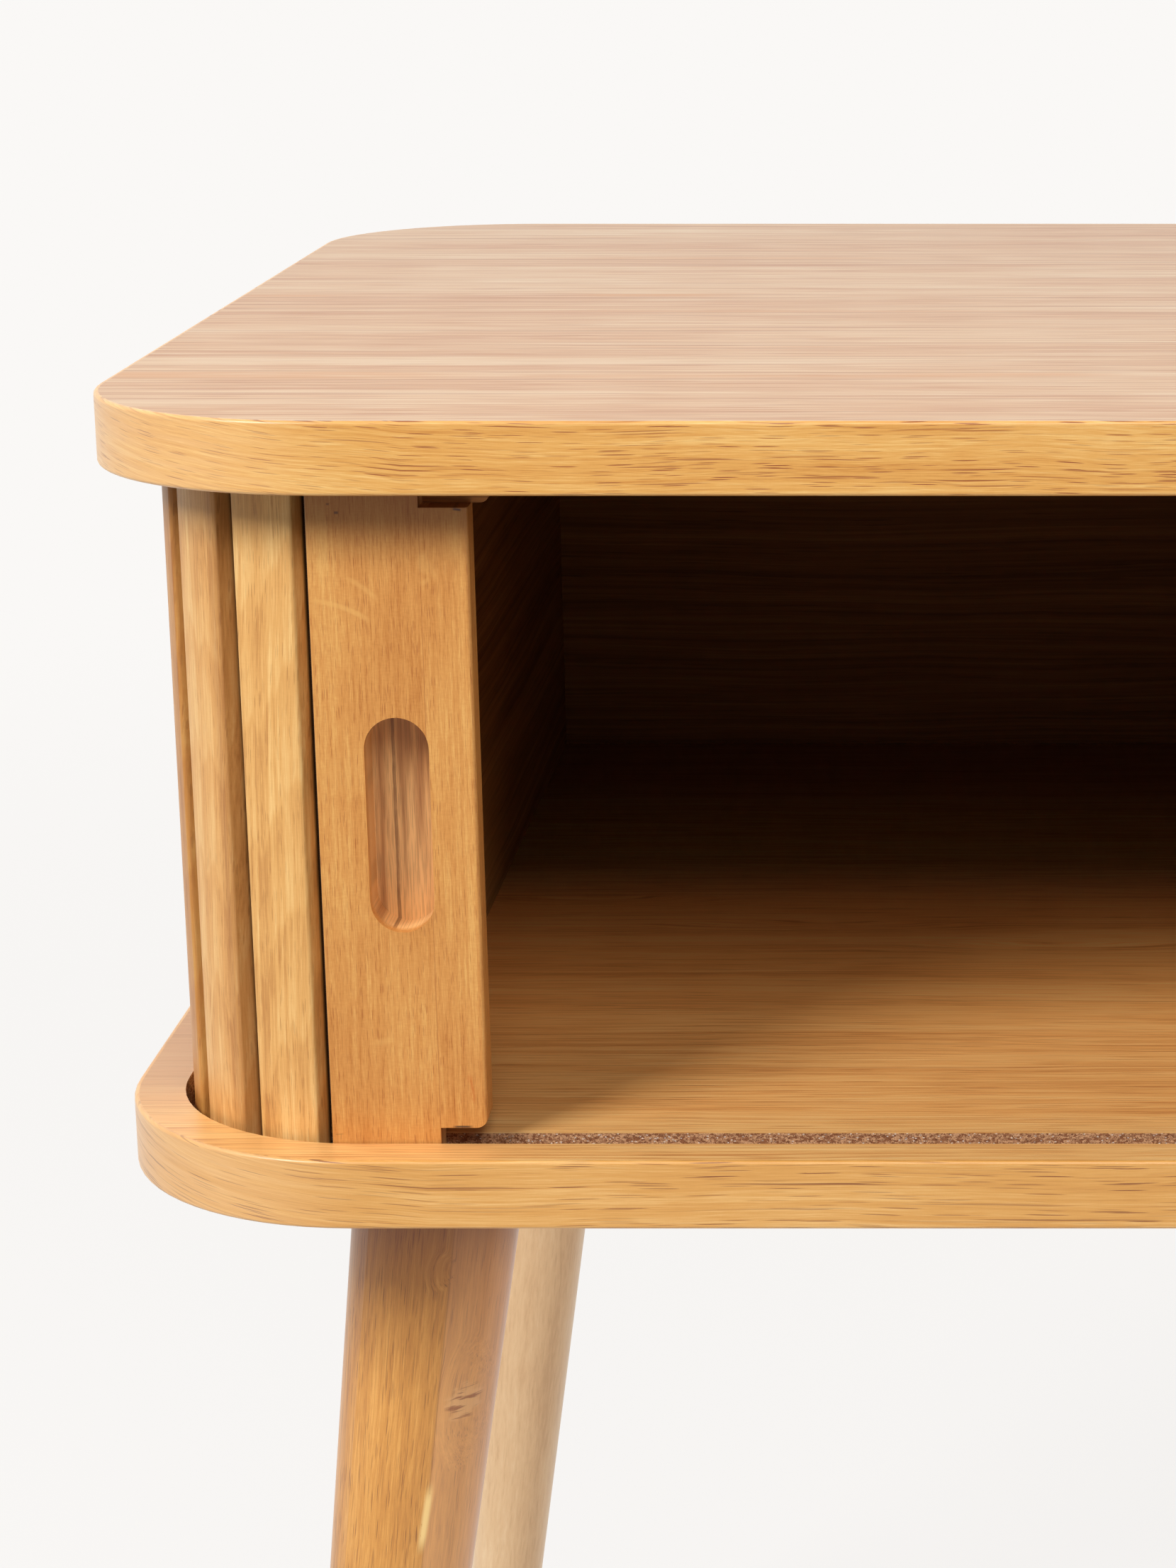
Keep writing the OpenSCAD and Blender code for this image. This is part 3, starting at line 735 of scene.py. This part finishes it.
# The finger pull's colours, how deep it starts and how far right it reaches
PULL_LIGHT, PULL_DARK, PULL_LINE = rgb(242, 192, 128), rgb(184, 130, 80), rgb(110, 66, 36)
PULL_STARTS, PULL_REACH, PULL_SHARE = (1.0, 5.0), 2.0, 0.9
# Broad zones and fine lines run down the pull
ZONE_GRAIN, ZONE_EDGE = (60, 3.4, 3.0), (0.44, 0.70)
LINE_GRAIN, LINE_FADE, LINE_SHARE = (9, 0.35, 8.0), (0.45, 0.62), 0.3
# So does a split, which wanders with the ripples
SPLIT_WANDER, SPLIT_EDGE, SPLIT_BASE, SPLIT_SHARE = 0.3, (0.5, 0.1), 0.4, 0.8
SPLIT_GRAIN = (5, 0.4, 0.0)


def lead_marks_and_shade(g, x, y, z, look, colour):
    """The seam, flecks, chips, painted shade and finger pull of the lead slat's own face."""
    colour = g.mix(g.rise(g.size(x - LEAD_SEAM), *SEAM_EDGE) * SEAM_SHARE, colour, look.pore)
    ripple = patch(g, x, z, *RIPPLE)
    sway = g.grain(x, z, SWAY_GRAIN) * SWAY
    wave = 0.5 + 0.5 * g.math("SINE", x * (2 * math.pi / RIPPLE_PITCH) + sway)
    colour = g.mix(ripple * wave * RIPPLE_SHARE, colour, look.light)
    for *spot, strength in LEAD_FLECKS:
        colour = g.mix(patch(g, x, z, *spot) * strength, colour, look.light)
    for *spot, strength in LEAD_MARKS:
        colour = g.mix(patch(g, x, z, *spot) * strength, colour, CHIPPED)
    *spot, strength = LEAD_STREAK
    speckle = g.rise(g.grain(x, z, SPECKLE_GRAIN), *SPECKLE_EDGE)
    colour = g.mix(patch(g, x, z, *spot) * speckle * strength, colour, RUSTY)
    # Painted shade under the top board
    colour = g.mix(g.rise(z, *TUCKED) * LEAD_TUCKED_SHARE, colour, SHADED)
    # Painted shade on the left side, in the gap beside the first slat
    left_shade = g.rise(x, *(LEAD_LOW[0] + inset for inset in LEFT_SHADE_EDGE))
    colour = g.scale(colour, 1.0 - left_shade * LEFT_SHADE_DARK)
    inside = g.rise(y, *(LEAD_LOW[1] + depth for depth in PULL_STARTS))
    inside = inside * g.above(LEAD_SEAM + PULL_REACH, x)
    zones = g.rise(g.grain(z, x, ZONE_GRAIN), *ZONE_EDGE)
    pull = g.mix(zones, PULL_LIGHT, PULL_DARK)
    lines = g.rise(g.grain(z, x, LINE_GRAIN), *LINE_FADE)
    pull = g.mix(lines * LINE_SHARE, pull, PULL_LINE)
    split = g.rise(g.size(x - PULL_SPLIT + wave * SPLIT_WANDER), *SPLIT_EDGE)
    split = split * (SPLIT_BASE + g.grain(z, x, SPLIT_GRAIN))
    pull = g.mix(split * SPLIT_SHARE, pull, PULL_LINE)
    return g.mix(inside * PULL_SHARE, colour, pull)


def lead_material(name, look, marks_and_shade=False):
    """The lead slat and the stiles. A strip as wide as the notches is glued to the edge."""
    g = material(name)
    x, y, z = g.place()
    strip = g.above(x, LEAD_SEAM)
    u, v = z + strip * STRIP_ALONG, x + strip * STRIP_ACROSS
    colour, roughness, height = oak(g, u, v, y, look)
    if marks_and_shade:
        colour = lead_marks_and_shade(g, x, y, z, look, colour)
    return finish_oak(g, (colour, roughness, height), look)


# ---- The legs ----

# How far each leg's wood is shifted along, by its side and its end of the table
LEG_SIDE_SHIFT, LEG_END_SHIFT = 80.0, 230.0
# The joint between a front leg's two strips, and how the second strip differs
LEG_SEAM, LEG_SEAM_BLEND = 7.5, 0.7
LEG_SEAM_EDGE, LEG_SEAM_SHARE = (0.3, 0.05), 0.3
SECOND_ALONG, SECOND_ACROSS = 400.0, 70.0
SECOND_TINT, SECOND_BASE, SECOND_SHARE = rgb(255, 248, 246), rgb(242, 190, 136), 0.35
# The knot's and the burl's middles, inwards and up
KNOT, BURL = (14.0, 315.5), (4.6, 353.5)
# The fibres go round both: middle, half width, half height and how far they are pushed
HEAPS = ((KNOT, 6.0, 15.0, 6.0), (BURL, 3.6, 4.5, 2.0))
HEAP_REACH, JUMBLE_GRAIN, JUMBLE = 1.8, (2, 3, 1.0), 12.0
KNOT_DARK, KNOT_LIGHT, KNOT_SHARE = rgb(150, 84, 46), rgb(236, 184, 124), 0.75
KNOT_WIDE, KNOT_HIGH, KNOT_EDGE = 5.5, 6.5, (1.5, 0.9)
RAGGED_GRAIN, RAGGED, CURL_GRAIN, CURL_EDGE = (2, 2, 5.0), 1.4, (7, 1.3, 2.0), (0.36, 0.50)
# A yellow sliver: inwards, up, half length, half width, angle
SLIVER = (7.2, 284.3, 11.0, 1.4, -93.0)
SLIVER_COLOUR, SLIVER_FRAY, SLIVER_EDGE = rgb(252, 214, 140), 2.5, (0.28, 0.36)
# The height over which the lower board keeps the light off a leg
LEG_TUCKED, LEG_TUCKED_SHARE = (342.0, 380.0), 0.96


def leg_material(name, look, glued=False):
    """The front legs are glued up from two strips, and the left one has a knot at the joint."""
    g = material(name)
    x, y, z = g.place()
    out = LEG_SLOPE * (UNDER_BOTTOM - z)
    inward = LEG_X + out - g.size(x)
    deep = g.size(y) - LEG_Y - out
    shift = g.math("SIGN", x) * LEG_SIDE_SHIFT + g.math("SIGN", y) * LEG_END_SHIFT
    if not glued:
        return finish_oak(g, oak(g, z + shift, inward, deep, look), look)
    left = g.above(0.0, x)
    second = g.above(inward, LEG_SEAM)
    v, bent = inward, z
    for middle, half_wide, half_high, push in HEAPS:
        heap = g.rise(oval(inward, z, *middle, half_wide, half_high), HEAP_REACH, 0.0) * left
        v = v + heap * push
        bent = bent + heap * g.grain(inward, z, JUMBLE_GRAIN) * JUMBLE
    u, v = bent + shift + second * SECOND_ALONG, v + second * SECOND_ACROSS
    colour, roughness, height = oak(g, u, v, deep, look)
    pinkish = g.mix(1.0, colour, SECOND_TINT, blend="MULTIPLY")
    pinkish = g.mix(SECOND_SHARE, pinkish, SECOND_BASE)
    share = g.rise(inward, LEG_SEAM - LEG_SEAM_BLEND, LEG_SEAM + LEG_SEAM_BLEND)
    colour = g.mix(share, colour, pinkish)
    seam = g.rise(g.size(inward - LEG_SEAM), *LEG_SEAM_EDGE)
    colour = g.mix(seam * LEG_SEAM_SHARE, colour, look.pore)
    ragged = g.grain(inward, z, RAGGED_GRAIN, detail=3.0) * RAGGED
    knot = oval(inward, z, *KNOT, KNOT_WIDE, KNOT_HIGH) + ragged
    curl = g.grain(inward, z, CURL_GRAIN, roughness=0.6)
    knot_colour = g.mix(g.rise(curl, *CURL_EDGE), KNOT_DARK, KNOT_LIGHT)
    colour = g.mix(g.rise(knot, *KNOT_EDGE) * left * KNOT_SHARE, colour, knot_colour)
    sliver = patch(g, inward, z, *SLIVER) * left
    frayed = g.rise(g.noise(z / SLIVER_FRAY, inward, 0.0), *SLIVER_EDGE)
    colour = g.mix(sliver * frayed, colour, SLIVER_COLOUR)
    colour = g.mix(g.rise(z, *LEG_TUCKED) * LEG_TUCKED_SHARE, colour, SHADED)
    return finish_oak(g, (colour, roughness, height), look)


# ---- Other materials ----

CHIP_SIZE = (0.8, 0.7, 0.5)
CHIP_FINE = 0.35
CHIP_DARK, CHIP_LIGHT, CHIP_TONES = rgb(156, 102, 68), rgb(222, 170, 126), (0.1, 0.8)
CHIP_WHITE, WHITE_ONES, WHITE_MIDDLE = rgb(244, 224, 204), (0.86, 0.92), (0.45, 0.2)
CHIP_HOLE, HOLES, HOLE_SHARE = rgb(112, 66, 42), (0.52, 0.34), 0.8


def chipboard_material():
    """Pressed wood chips, cut through."""
    g = material("chipboard")
    x, y, z = g.place()
    near, own = g.cells(*(value / size for value, size in zip((x, y, z), CHIP_SIZE)))
    grey, white, _ = g.split(own)
    fine = g.noise(x / CHIP_FINE, y / CHIP_FINE, z / CHIP_FINE, roughness=0.7)
    colour = g.mix(g.rise(grey, *CHIP_TONES), CHIP_DARK, CHIP_LIGHT)
    whiter = g.rise(white, *WHITE_ONES) * g.rise(near, *WHITE_MIDDLE)
    colour = g.mix(whiter, colour, CHIP_WHITE)
    colour = g.mix(g.rise(fine, *HOLES) * HOLE_SHARE, colour, CHIP_HOLE)
    return g.surface(colour, 0.85, fine + grey, 0.2, **{"Specular IOR Level": 0.2})


def plain_material(name, grain, light, dark, roughness, depth, spread=None):
    """Two colours in one grain, whose size is given along X, Y and Z."""
    g = material(name)
    fibre = g.noise(*(value / size for value, size in zip(g.place(), grain)), detail=3.0)
    share = g.rise(fibre, *spread) if spread else fibre
    return g.surface(g.mix(share, light, dark), roughness, fibre, depth)


METAL_GRAIN, METAL_DEPTH, METAL_SPREAD = 2.5, 0.01, (0.35, 0.65)
METAL_ROUGHNESS, WEAR_ROUGHNESS = 0.3, 0.15


def metal_material(name, light, dark):
    g = material(name)
    wear = g.noise(*(value / METAL_GRAIN for value in g.place()), detail=4.0, roughness=0.6)
    colour = g.mix(g.rise(wear, *METAL_SPREAD), light, dark)
    roughness = METAL_ROUGHNESS + wear * WEAR_ROUGHNESS
    return g.surface(colour, roughness, wear, METAL_DEPTH, Metallic=1.0)


# Grain size, two colours, roughness, depth and, if it isn't 0 to 1, the spread of the grain
BROWN_WOOD = ((9, 0.6, 0.6), rgb(150, 92, 40), rgb(196, 130, 62), 0.6, 0.04, (0.3, 0.7))
BEECH = ((0.8, 0.8, 12), rgb(214, 180, 136), rgb(190, 148, 104), 0.7, 0.05)
GLIDE = ((0.5, 0.5, 0.5), rgb(96, 76, 62), rgb(66, 50, 40), 0.6, 0.05, (0.3, 0.7))
STEEL = (rgb(196, 198, 202), rgb(170, 172, 176))
BRASS = (rgb(214, 180, 104), rgb(184, 148, 80))
FIXED_SLATS = ("rear_run_slats", "rear_right_slats", "right_corner_slats", "right_side_slats")

dress(board_material("top_oak", TOP_OAK, streaks=TOP_STREAKS), "top_face_veneer")
FLOOR_OAK = floor_material("floor_oak", BOTTOM_OAK)
dress(FLOOR_OAK, "bottom_face_veneer", "bottom_underside_veneer")
dress(board_material("ceiling_oak", WALL_OAK), "top_underside_veneer")
dress(band_material("top_edge_oak", EDGE_OAK), "top_edge_band")
dress(band_material("bottom_edge_oak", LOW_EDGE_OAK), "bottom_edge_band")
dress(chipboard_material(), "top_core", "bottom_core")
dress(wall_material("wall_oak", WALL_OAK), "left_inner_wall", "right_inner_wall")
dress(board_material("back_oak", WALL_OAK, across=2, inward=1), "back_panel")
dress(slat_material("slat_oak", SLAT_OAK, slat_grain), *nodes_like("slat_"), *FIXED_SLATS)
dress(lead_material("lead_oak", LEAD_OAK, marks_and_shade=True), "lead_slat")
dress(lead_material("stile_oak", LEAD_OAK), "closing_stile", "rear_stile")
dress(leg_material("leg_oak", LEG_OAK, glued=True), *nodes_like("leg_front"))
dress(leg_material("backlit_rear_leg_oak", BACKLIT_REAR_LEG_OAK), *nodes_like("leg_rear"))
dress(plain_material("brown_wood", *BROWN_WOOD), "lead_bumper")
dress(plain_material("beech", *BEECH), "wall_dowels")
dress(metal_material("steel", *STEEL), "leg_bolts", "wall_screws", "back_panel_pins")
dress(metal_material("brass", *BRASS), "leg_inserts")
dress(plain_material("glide", *GLIDE), "foot_glides")


# ---- Canvas ----

CANVAS_STEP = 1.0
CANVAS_ROWS = 12
CANVAS_BULGE = 0.3
CANVAS_THREAD = 0.55
THREAD_DARK, THREAD_LIGHT, THREAD_TONES = rgb(58, 42, 32), rgb(122, 94, 72), (0.2, 0.9)
THREAD_DEPTH, THREAD_CROSSING = 0.12, (-0.4, 0.4)
SLUB_GRAIN = (6, 0.5, 0.0)
DUST, DUST_GRAIN, DUST_EDGE, DUST_SHARE = rgb(140, 118, 98), (30, 30, 4.0), (0.55, 0.8), 0.3


def line_point(run, out):
    """The point that lies out millimetres outside the slats' backs, run millimetres along.

    run is 0 where the front left bend starts, and grows leftwards and then to the back.
    """
    r = LINE_R + out
    if run < 0:
        return -HALF_X - run, -HALF_Y - r
    if run < BEND_LEN:
        a = run / LINE_R
        return -HALF_X - r * math.sin(a), -HALF_Y - r * math.cos(a)
    if run < BEND_LEN + SIDE_LEN:
        return -HALF_X - r, -HALF_Y + run - BEND_LEN
    if run < TURN_LEN:
        a = (run - BEND_LEN - SIDE_LEN) / LINE_R
        return -HALF_X - r * math.cos(a), HALF_Y + r * math.sin(a)
    return -HALF_X + run - TURN_LEN, HALF_Y + r


def new_object(name, shape, *materials):
    """A smooth object made from a bmesh, which it frees."""
    mesh = bpy.data.meshes.new(name)
    shape.to_mesh(mesh)
    shape.free()
    for made in materials:
        mesh.materials.append(made)
    for face in mesh.polygons:
        face.use_smooth = True
    made = bpy.data.objects.new(name, mesh)
    bpy.context.scene.collection.objects.link(made)
    return made


def new_shape():
    """A bmesh whose points carry a grain attribute."""
    shape = bmesh.new()
    shape.verts.layers.float_vector.new("grain")
    return shape


def add_point(shape, place, grain):
    """A point in millimetres, with the three numbers of its grain."""
    vert = shape.verts.new([value * MM for value in place])
    vert[shape.verts.layers.float_vector["grain"]] = grain
    return vert


def canvas_material():
    """A plain weave of dark brown thread. The grain attribute holds run, height and depth."""
    g = material("canvas")
    run, high, _ = g.attribute("grain")
    turn = math.pi / CANVAS_THREAD
    warp = g.math("SINE", run * turn)
    weft = g.math("SINE", high * turn)
    over = g.rise(warp * weft, *THREAD_CROSSING)
    round_warp = g.size(g.math("COSINE", run * turn))
    round_weft = g.size(g.math("COSINE", high * turn))
    thread = g.choose(over, 1.0 - round_warp, 1.0 - round_weft)
    slub = g.grain(run, high, SLUB_GRAIN)
    tone = thread * 0.6 + slub * 0.5
    colour = g.mix(g.rise(tone, *THREAD_TONES), THREAD_DARK, THREAD_LIGHT)
    dust = g.grain(run, high, DUST_GRAIN, detail=3.0)
    colour = g.mix(g.rise(dust, *DUST_EDGE) * DUST_SHARE, colour, DUST)
    return g.surface(colour, 0.92, thread + slub * 0.5, THREAD_DEPTH, **{"Sheen Weight": 0.2})


def canvas_piece(name, node, side, made_of):
    """One strip of canvas. It bulges a little between two slats, where nothing holds it."""
    low, high = in_mm(node)
    start = FIRST_SLAT - SLAT_W / 2
    end = TURN_LEN + HALF_X + (high[0] if side < 0 else -low[0])
    columns = round((end - start) / CANVAS_STEP)
    gap = (SLAT_PITCH - SLAT_W) / 2
    heights = [low[2] + (high[2] - low[2]) * j / CANVAS_ROWS for j in range(CANVAS_ROWS + 1)]
    shape = new_shape()
    skins = []
    for depth in (0.0, CANVAS_T):
        skin = []
        for i in range(columns + 1):
            run = start + (end - start) * i / columns
            free = abs((run - FIRST_SLAT) / SLAT_PITCH % 1.0 - 0.5) * SLAT_PITCH
            bulge = CANVAS_BULGE * (1.0 - (free / gap) ** 2) if free < gap else 0.0
            x, y = line_point(run, bulge - CANVAS_CLEAR - depth)
            skin.append([add_point(shape, (-side * x, y, z), (run, z, 0.0)) for z in heights])
        skins.append(skin)
    front, back = skins
    for i in range(columns):
        for j in range(CANVAS_ROWS):
            k, m = i + 1, j + 1
            shape.faces.new((front[i][j], front[k][j], front[k][m], front[i][m]))
            shape.faces.new((back[i][j], back[i][m], back[k][m], back[k][j]))
        for j in (0, CANVAS_ROWS):
            shape.faces.new((front[i][j], back[i][j], back[i + 1][j], front[i + 1][j]))
    for i in (0, columns):
        for j in range(CANVAS_ROWS):
            shape.faces.new((front[i][j], front[i][j + 1], back[i][j + 1], back[i][j]))
    bmesh.ops.recalc_face_normals(shape, faces=shape.faces)
    piece = new_object(name, shape, made_of)
    flat = ((end - start) * MM, (high[2] - low[2]) * MM)
    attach(piece, "carcass")
    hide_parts(node)


CANVAS = canvas_material()
canvas_piece("curtain_cloth", "curtain_canvas", -1, CANVAS)
canvas_piece("fixed_cloth", "fixed_canvas", 1, CANVAS)


# ---- The paid-out curtain ----

TRAVEL = frame["joints"][0]["range_m"][1] / MM
PAID_SLATS = round(TRAVEL / SLAT_PITCH)
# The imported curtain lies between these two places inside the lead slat
HIDE_FROM = LEAD_LOW[0] + 0.3
HIDE_TO = LEAD_LOW[0] + 11.3
# How far its slats stand back from the true line, and how far their ends are cut short
PAID_DEPTH = 0.05
PAID_END = 0.2
# One of the straight slats on the left side, which gives the shape of them all
SAMPLE_SLAT = "slat_08"
HALVINGS = 60


def paid_out(x):
    """Where a point at x at rest goes when the door is shut."""
    share = min(max((x - HIDE_FROM) / (HIDE_TO - HIDE_FROM), 0.0), 1.0)
    return x + TRAVEL * share * share * (3.0 - 2.0 * share)


def hidden_place(target):
    """The place at rest, inside the lead slat, of what is at target when the door is shut."""
    low, high = HIDE_FROM, HIDE_TO
    for _ in range(HALVINGS):
        middle = (low + high) / 2
        if paid_out(middle) < target:
            low = middle
        else:
            high = middle
    return (low + high) / 2


def add_paid_slats(shape, back_y):
    source = NODES[SAMPLE_SLAT].data
    low, high = in_mm(SAMPLE_SLAT)
    bottom, top = low[2] + PAID_END, high[2] - PAID_END
    for k in range(PAID_SLATS):
        middle = LEAD_LOW[0] + SLAT_PITCH / 2 + SLAT_PITCH * k
        made = []
        for point in source.vertices:
            across = point.co.y / MM - (low[1] + high[1]) / 2
            out = high[0] - point.co.x / MM
            z = min(max(point.co.z / MM, bottom), top)
            x = hidden_place(middle + across)
            grain = (across, out, PAID_NUMBERS + k)
            made.append(add_point(shape, (x, back_y - out, z), grain))
        for face in source.polygons:
            shape.faces.new([made[i] for i in face.vertices])


def add_paid_canvas(shape, back_y):
    low, high = (corner[2] for corner in in_mm("curtain_canvas"))
    start = LEAD_LOW[0] + SLAT_W / 2
    end = LEAD_LOW[0] + PAID_SLATS * SLAT_PITCH - SLAT_PITCH / 2
    columns = round((end - start) / CANVAS_STEP)
    rings = []
    for i in range(columns + 1):
        target = start + (end - start) * i / columns
        x = hidden_place(target)
        corners = ((0.0, low), (0.0, high), (CANVAS_T, high), (CANVAS_T, low))
        rings.append([
            add_point(shape, (x, back_y + CANVAS_CLEAR + deep, z), (target, z, 0.0))
            for deep, z in corners
        ])
    for one, other in zip(rings, rings[1:]):
        for j in range(4):
            face = shape.faces.new((one[j], other[j], other[j - 3], one[j - 3]))
            face.material_index = 1
    for ring in (rings[0], rings[-1]):
        shape.faces.new(ring).material_index = 1


def paid_out_curtain(slat_made_of, canvas_made_of):
    """The curtain that follows the lead slat, packed inside it while the door is open."""
    shape = new_shape()
    back_y = -HALF_Y - LINE_R - PAID_DEPTH
    add_paid_slats(shape, back_y)
    add_paid_canvas(shape, back_y)
    bmesh.ops.recalc_face_normals(shape, faces=shape.faces)
    piece = new_object("paid_out_curtain", shape, slat_made_of, canvas_made_of)
    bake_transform(piece)


paid_out_curtain(slat_material("paid_slat_oak", SLAT_OAK, paid_grain), CANVAS)


# ---- Camera, lights, floor and world ----

# Fitted to the boards' outlines in the photograph
CAMERA_PLACE = (-0.00112, -1.11142, 0.72367)
CAMERA_DOWN = 14.24
CAMERA_LENS, CAMERA_SENSOR = 85.39, 36.0
CAMERA_SHIFT = -0.2498


def add_camera():
    data = bpy.data.cameras.new("camera")
    data.lens = CAMERA_LENS
    data.sensor_width = CAMERA_SENSOR
    data.shift_x = CAMERA_SHIFT
    camera = bpy.data.objects.new("camera", data)
    camera.location = CAMERA_PLACE
    camera.rotation_euler = (math.radians(90 - CAMERA_DOWN), 0, 0)
    bpy.context.scene.collection.objects.link(camera)
    bpy.context.scene.camera = camera


LAMP_DISTANCE = 2.6
# Name, degrees to the left of the front, degrees up, size, brightness, what it points at
LAMPS = (
    ("key", 43.0, 37.0, 0.9, 0.74, (-0.05, 0.0, 0.5)),
    ("fill", -12.0, 41.0, 1.1, 0.34, (0.0, 0.0, 0.5)),
)


def add_lamp(name, azimuth, elevation, size, brightness, aim):
    """A square lamp. brightness is how light it makes white where it points."""
    data = bpy.data.lights.new(name, "AREA")
    data.shape = "SQUARE"
    data.size = size
    data.energy = brightness * (math.pi * LAMP_DISTANCE) ** 2
    lamp = bpy.data.objects.new(name, data)
    a, e = math.radians(azimuth), math.radians(elevation)
    toward = Vector((-math.sin(a) * math.cos(e), -math.cos(a) * math.cos(e), math.sin(e)))
    lamp.location = Vector(aim) + toward * LAMP_DISTANCE
    lamp.rotation_euler = toward.to_track_quat("Z", "Y").to_euler()
    bpy.context.scene.collection.objects.link(lamp)


def shown_share(g):
    """1 for rays from the camera, a reflection or glass, and 0 for those that light things."""
    rays = g.node("LightPath").outputs
    camera, glossy = Field(g, rays["Is Camera Ray"]), Field(g, rays["Is Glossy Ray"])
    return g.highest(g.highest(camera, glossy), Field(g, rays["Is Transmission Ray"]))


FLOOR_RADIUS, FLOOR_SIDES, FLOOR_DROP = 3.2, 96, 0.0002
# The light that the floor throws back, near the table and far from it
NEAR_BOUNCE, FAR_BOUNCE = (0.80, 0.79, 0.78, 1.0), (0.30, 0.30, 0.30, 1.0)
BOUNCE_FADE = (450, 1100)
# Seen, it glows by this much near the table, which leaves a faint shadow, and fully far off
GLOW, GLOW_RISE = 0.88, (900, 2600)


def add_floor():
    g = material("floor")
    x, y, _ = g.place()
    away = g.math("SQRT", x * x + y * y)
    shown = shown_share(g)
    glow = g.node("Emission")
    glow.inputs["Color"].default_value = PALE
    matt = g.node("BsdfDiffuse")
    bounce = g.mix(g.rise(away, *BOUNCE_FADE), NEAR_BOUNCE, FAR_BOUNCE)
    g.feed(matt.inputs["Color"], g.mix(shown, bounce, PALE))
    both = g.node("MixShader")
    g.feed(both.inputs[0], shown * (GLOW + (1.0 - GLOW) * g.rise(away, *GLOW_RISE)))
    g.tree.links.new(matt.outputs[0], both.inputs[1])
    g.tree.links.new(glow.outputs[0], both.inputs[2])
    g.tree.links.new(both.outputs[0], g.node("OutputMaterial").inputs[0])
    shape = bmesh.new()
    bmesh.ops.create_circle(shape, cap_ends=True, segments=FLOOR_SIDES, radius=FLOOR_RADIUS)
    floor = new_object("floor", shape, g.owner)
    floor.location.z = -FLOOR_DROP


FRONT_LIGHT, FRONT_FADE = 0.03, (-0.75, -0.1)
SIDE_LIGHT = 0.42
RIGHT_SHARE, RIGHT_RISE = 1.2, (0.0, 0.8)
SKY_LIGHT, SKY_RISE = 0.50, (0.45, 0.85)


def add_world():
    """Pale where it is seen. It lights from above and the sides, and hardly from the front."""
    world = bpy.data.worlds.new("world")
    bpy.context.scene.world = world
    g = Graph(world)
    right, back, up = g.split(Field(g, g.node("TexCoord").outputs["Generated"]))
    side = SIDE_LIGHT * (1.0 + RIGHT_SHARE * g.rise(right, *RIGHT_RISE))
    level = FRONT_LIGHT + (side - FRONT_LIGHT) * g.rise(back, *FRONT_FADE)
    level = level + (SKY_LIGHT - level) * g.rise(up, *SKY_RISE)
    light = g.vector(level, level, level)
    both = g.node("Background")
    g.feed(both.inputs["Color"], g.mix(shown_share(g), light, PALE))
    both.inputs["Strength"].default_value = 1.0
    g.tree.links.new(both.outputs[0], g.node("OutputWorld").inputs[0])


add_camera()
for lamp_values in LAMPS:
    add_lamp(*lamp_values)
add_floor()
add_world()
bpy.context.scene.view_settings.view_transform = "Standard"
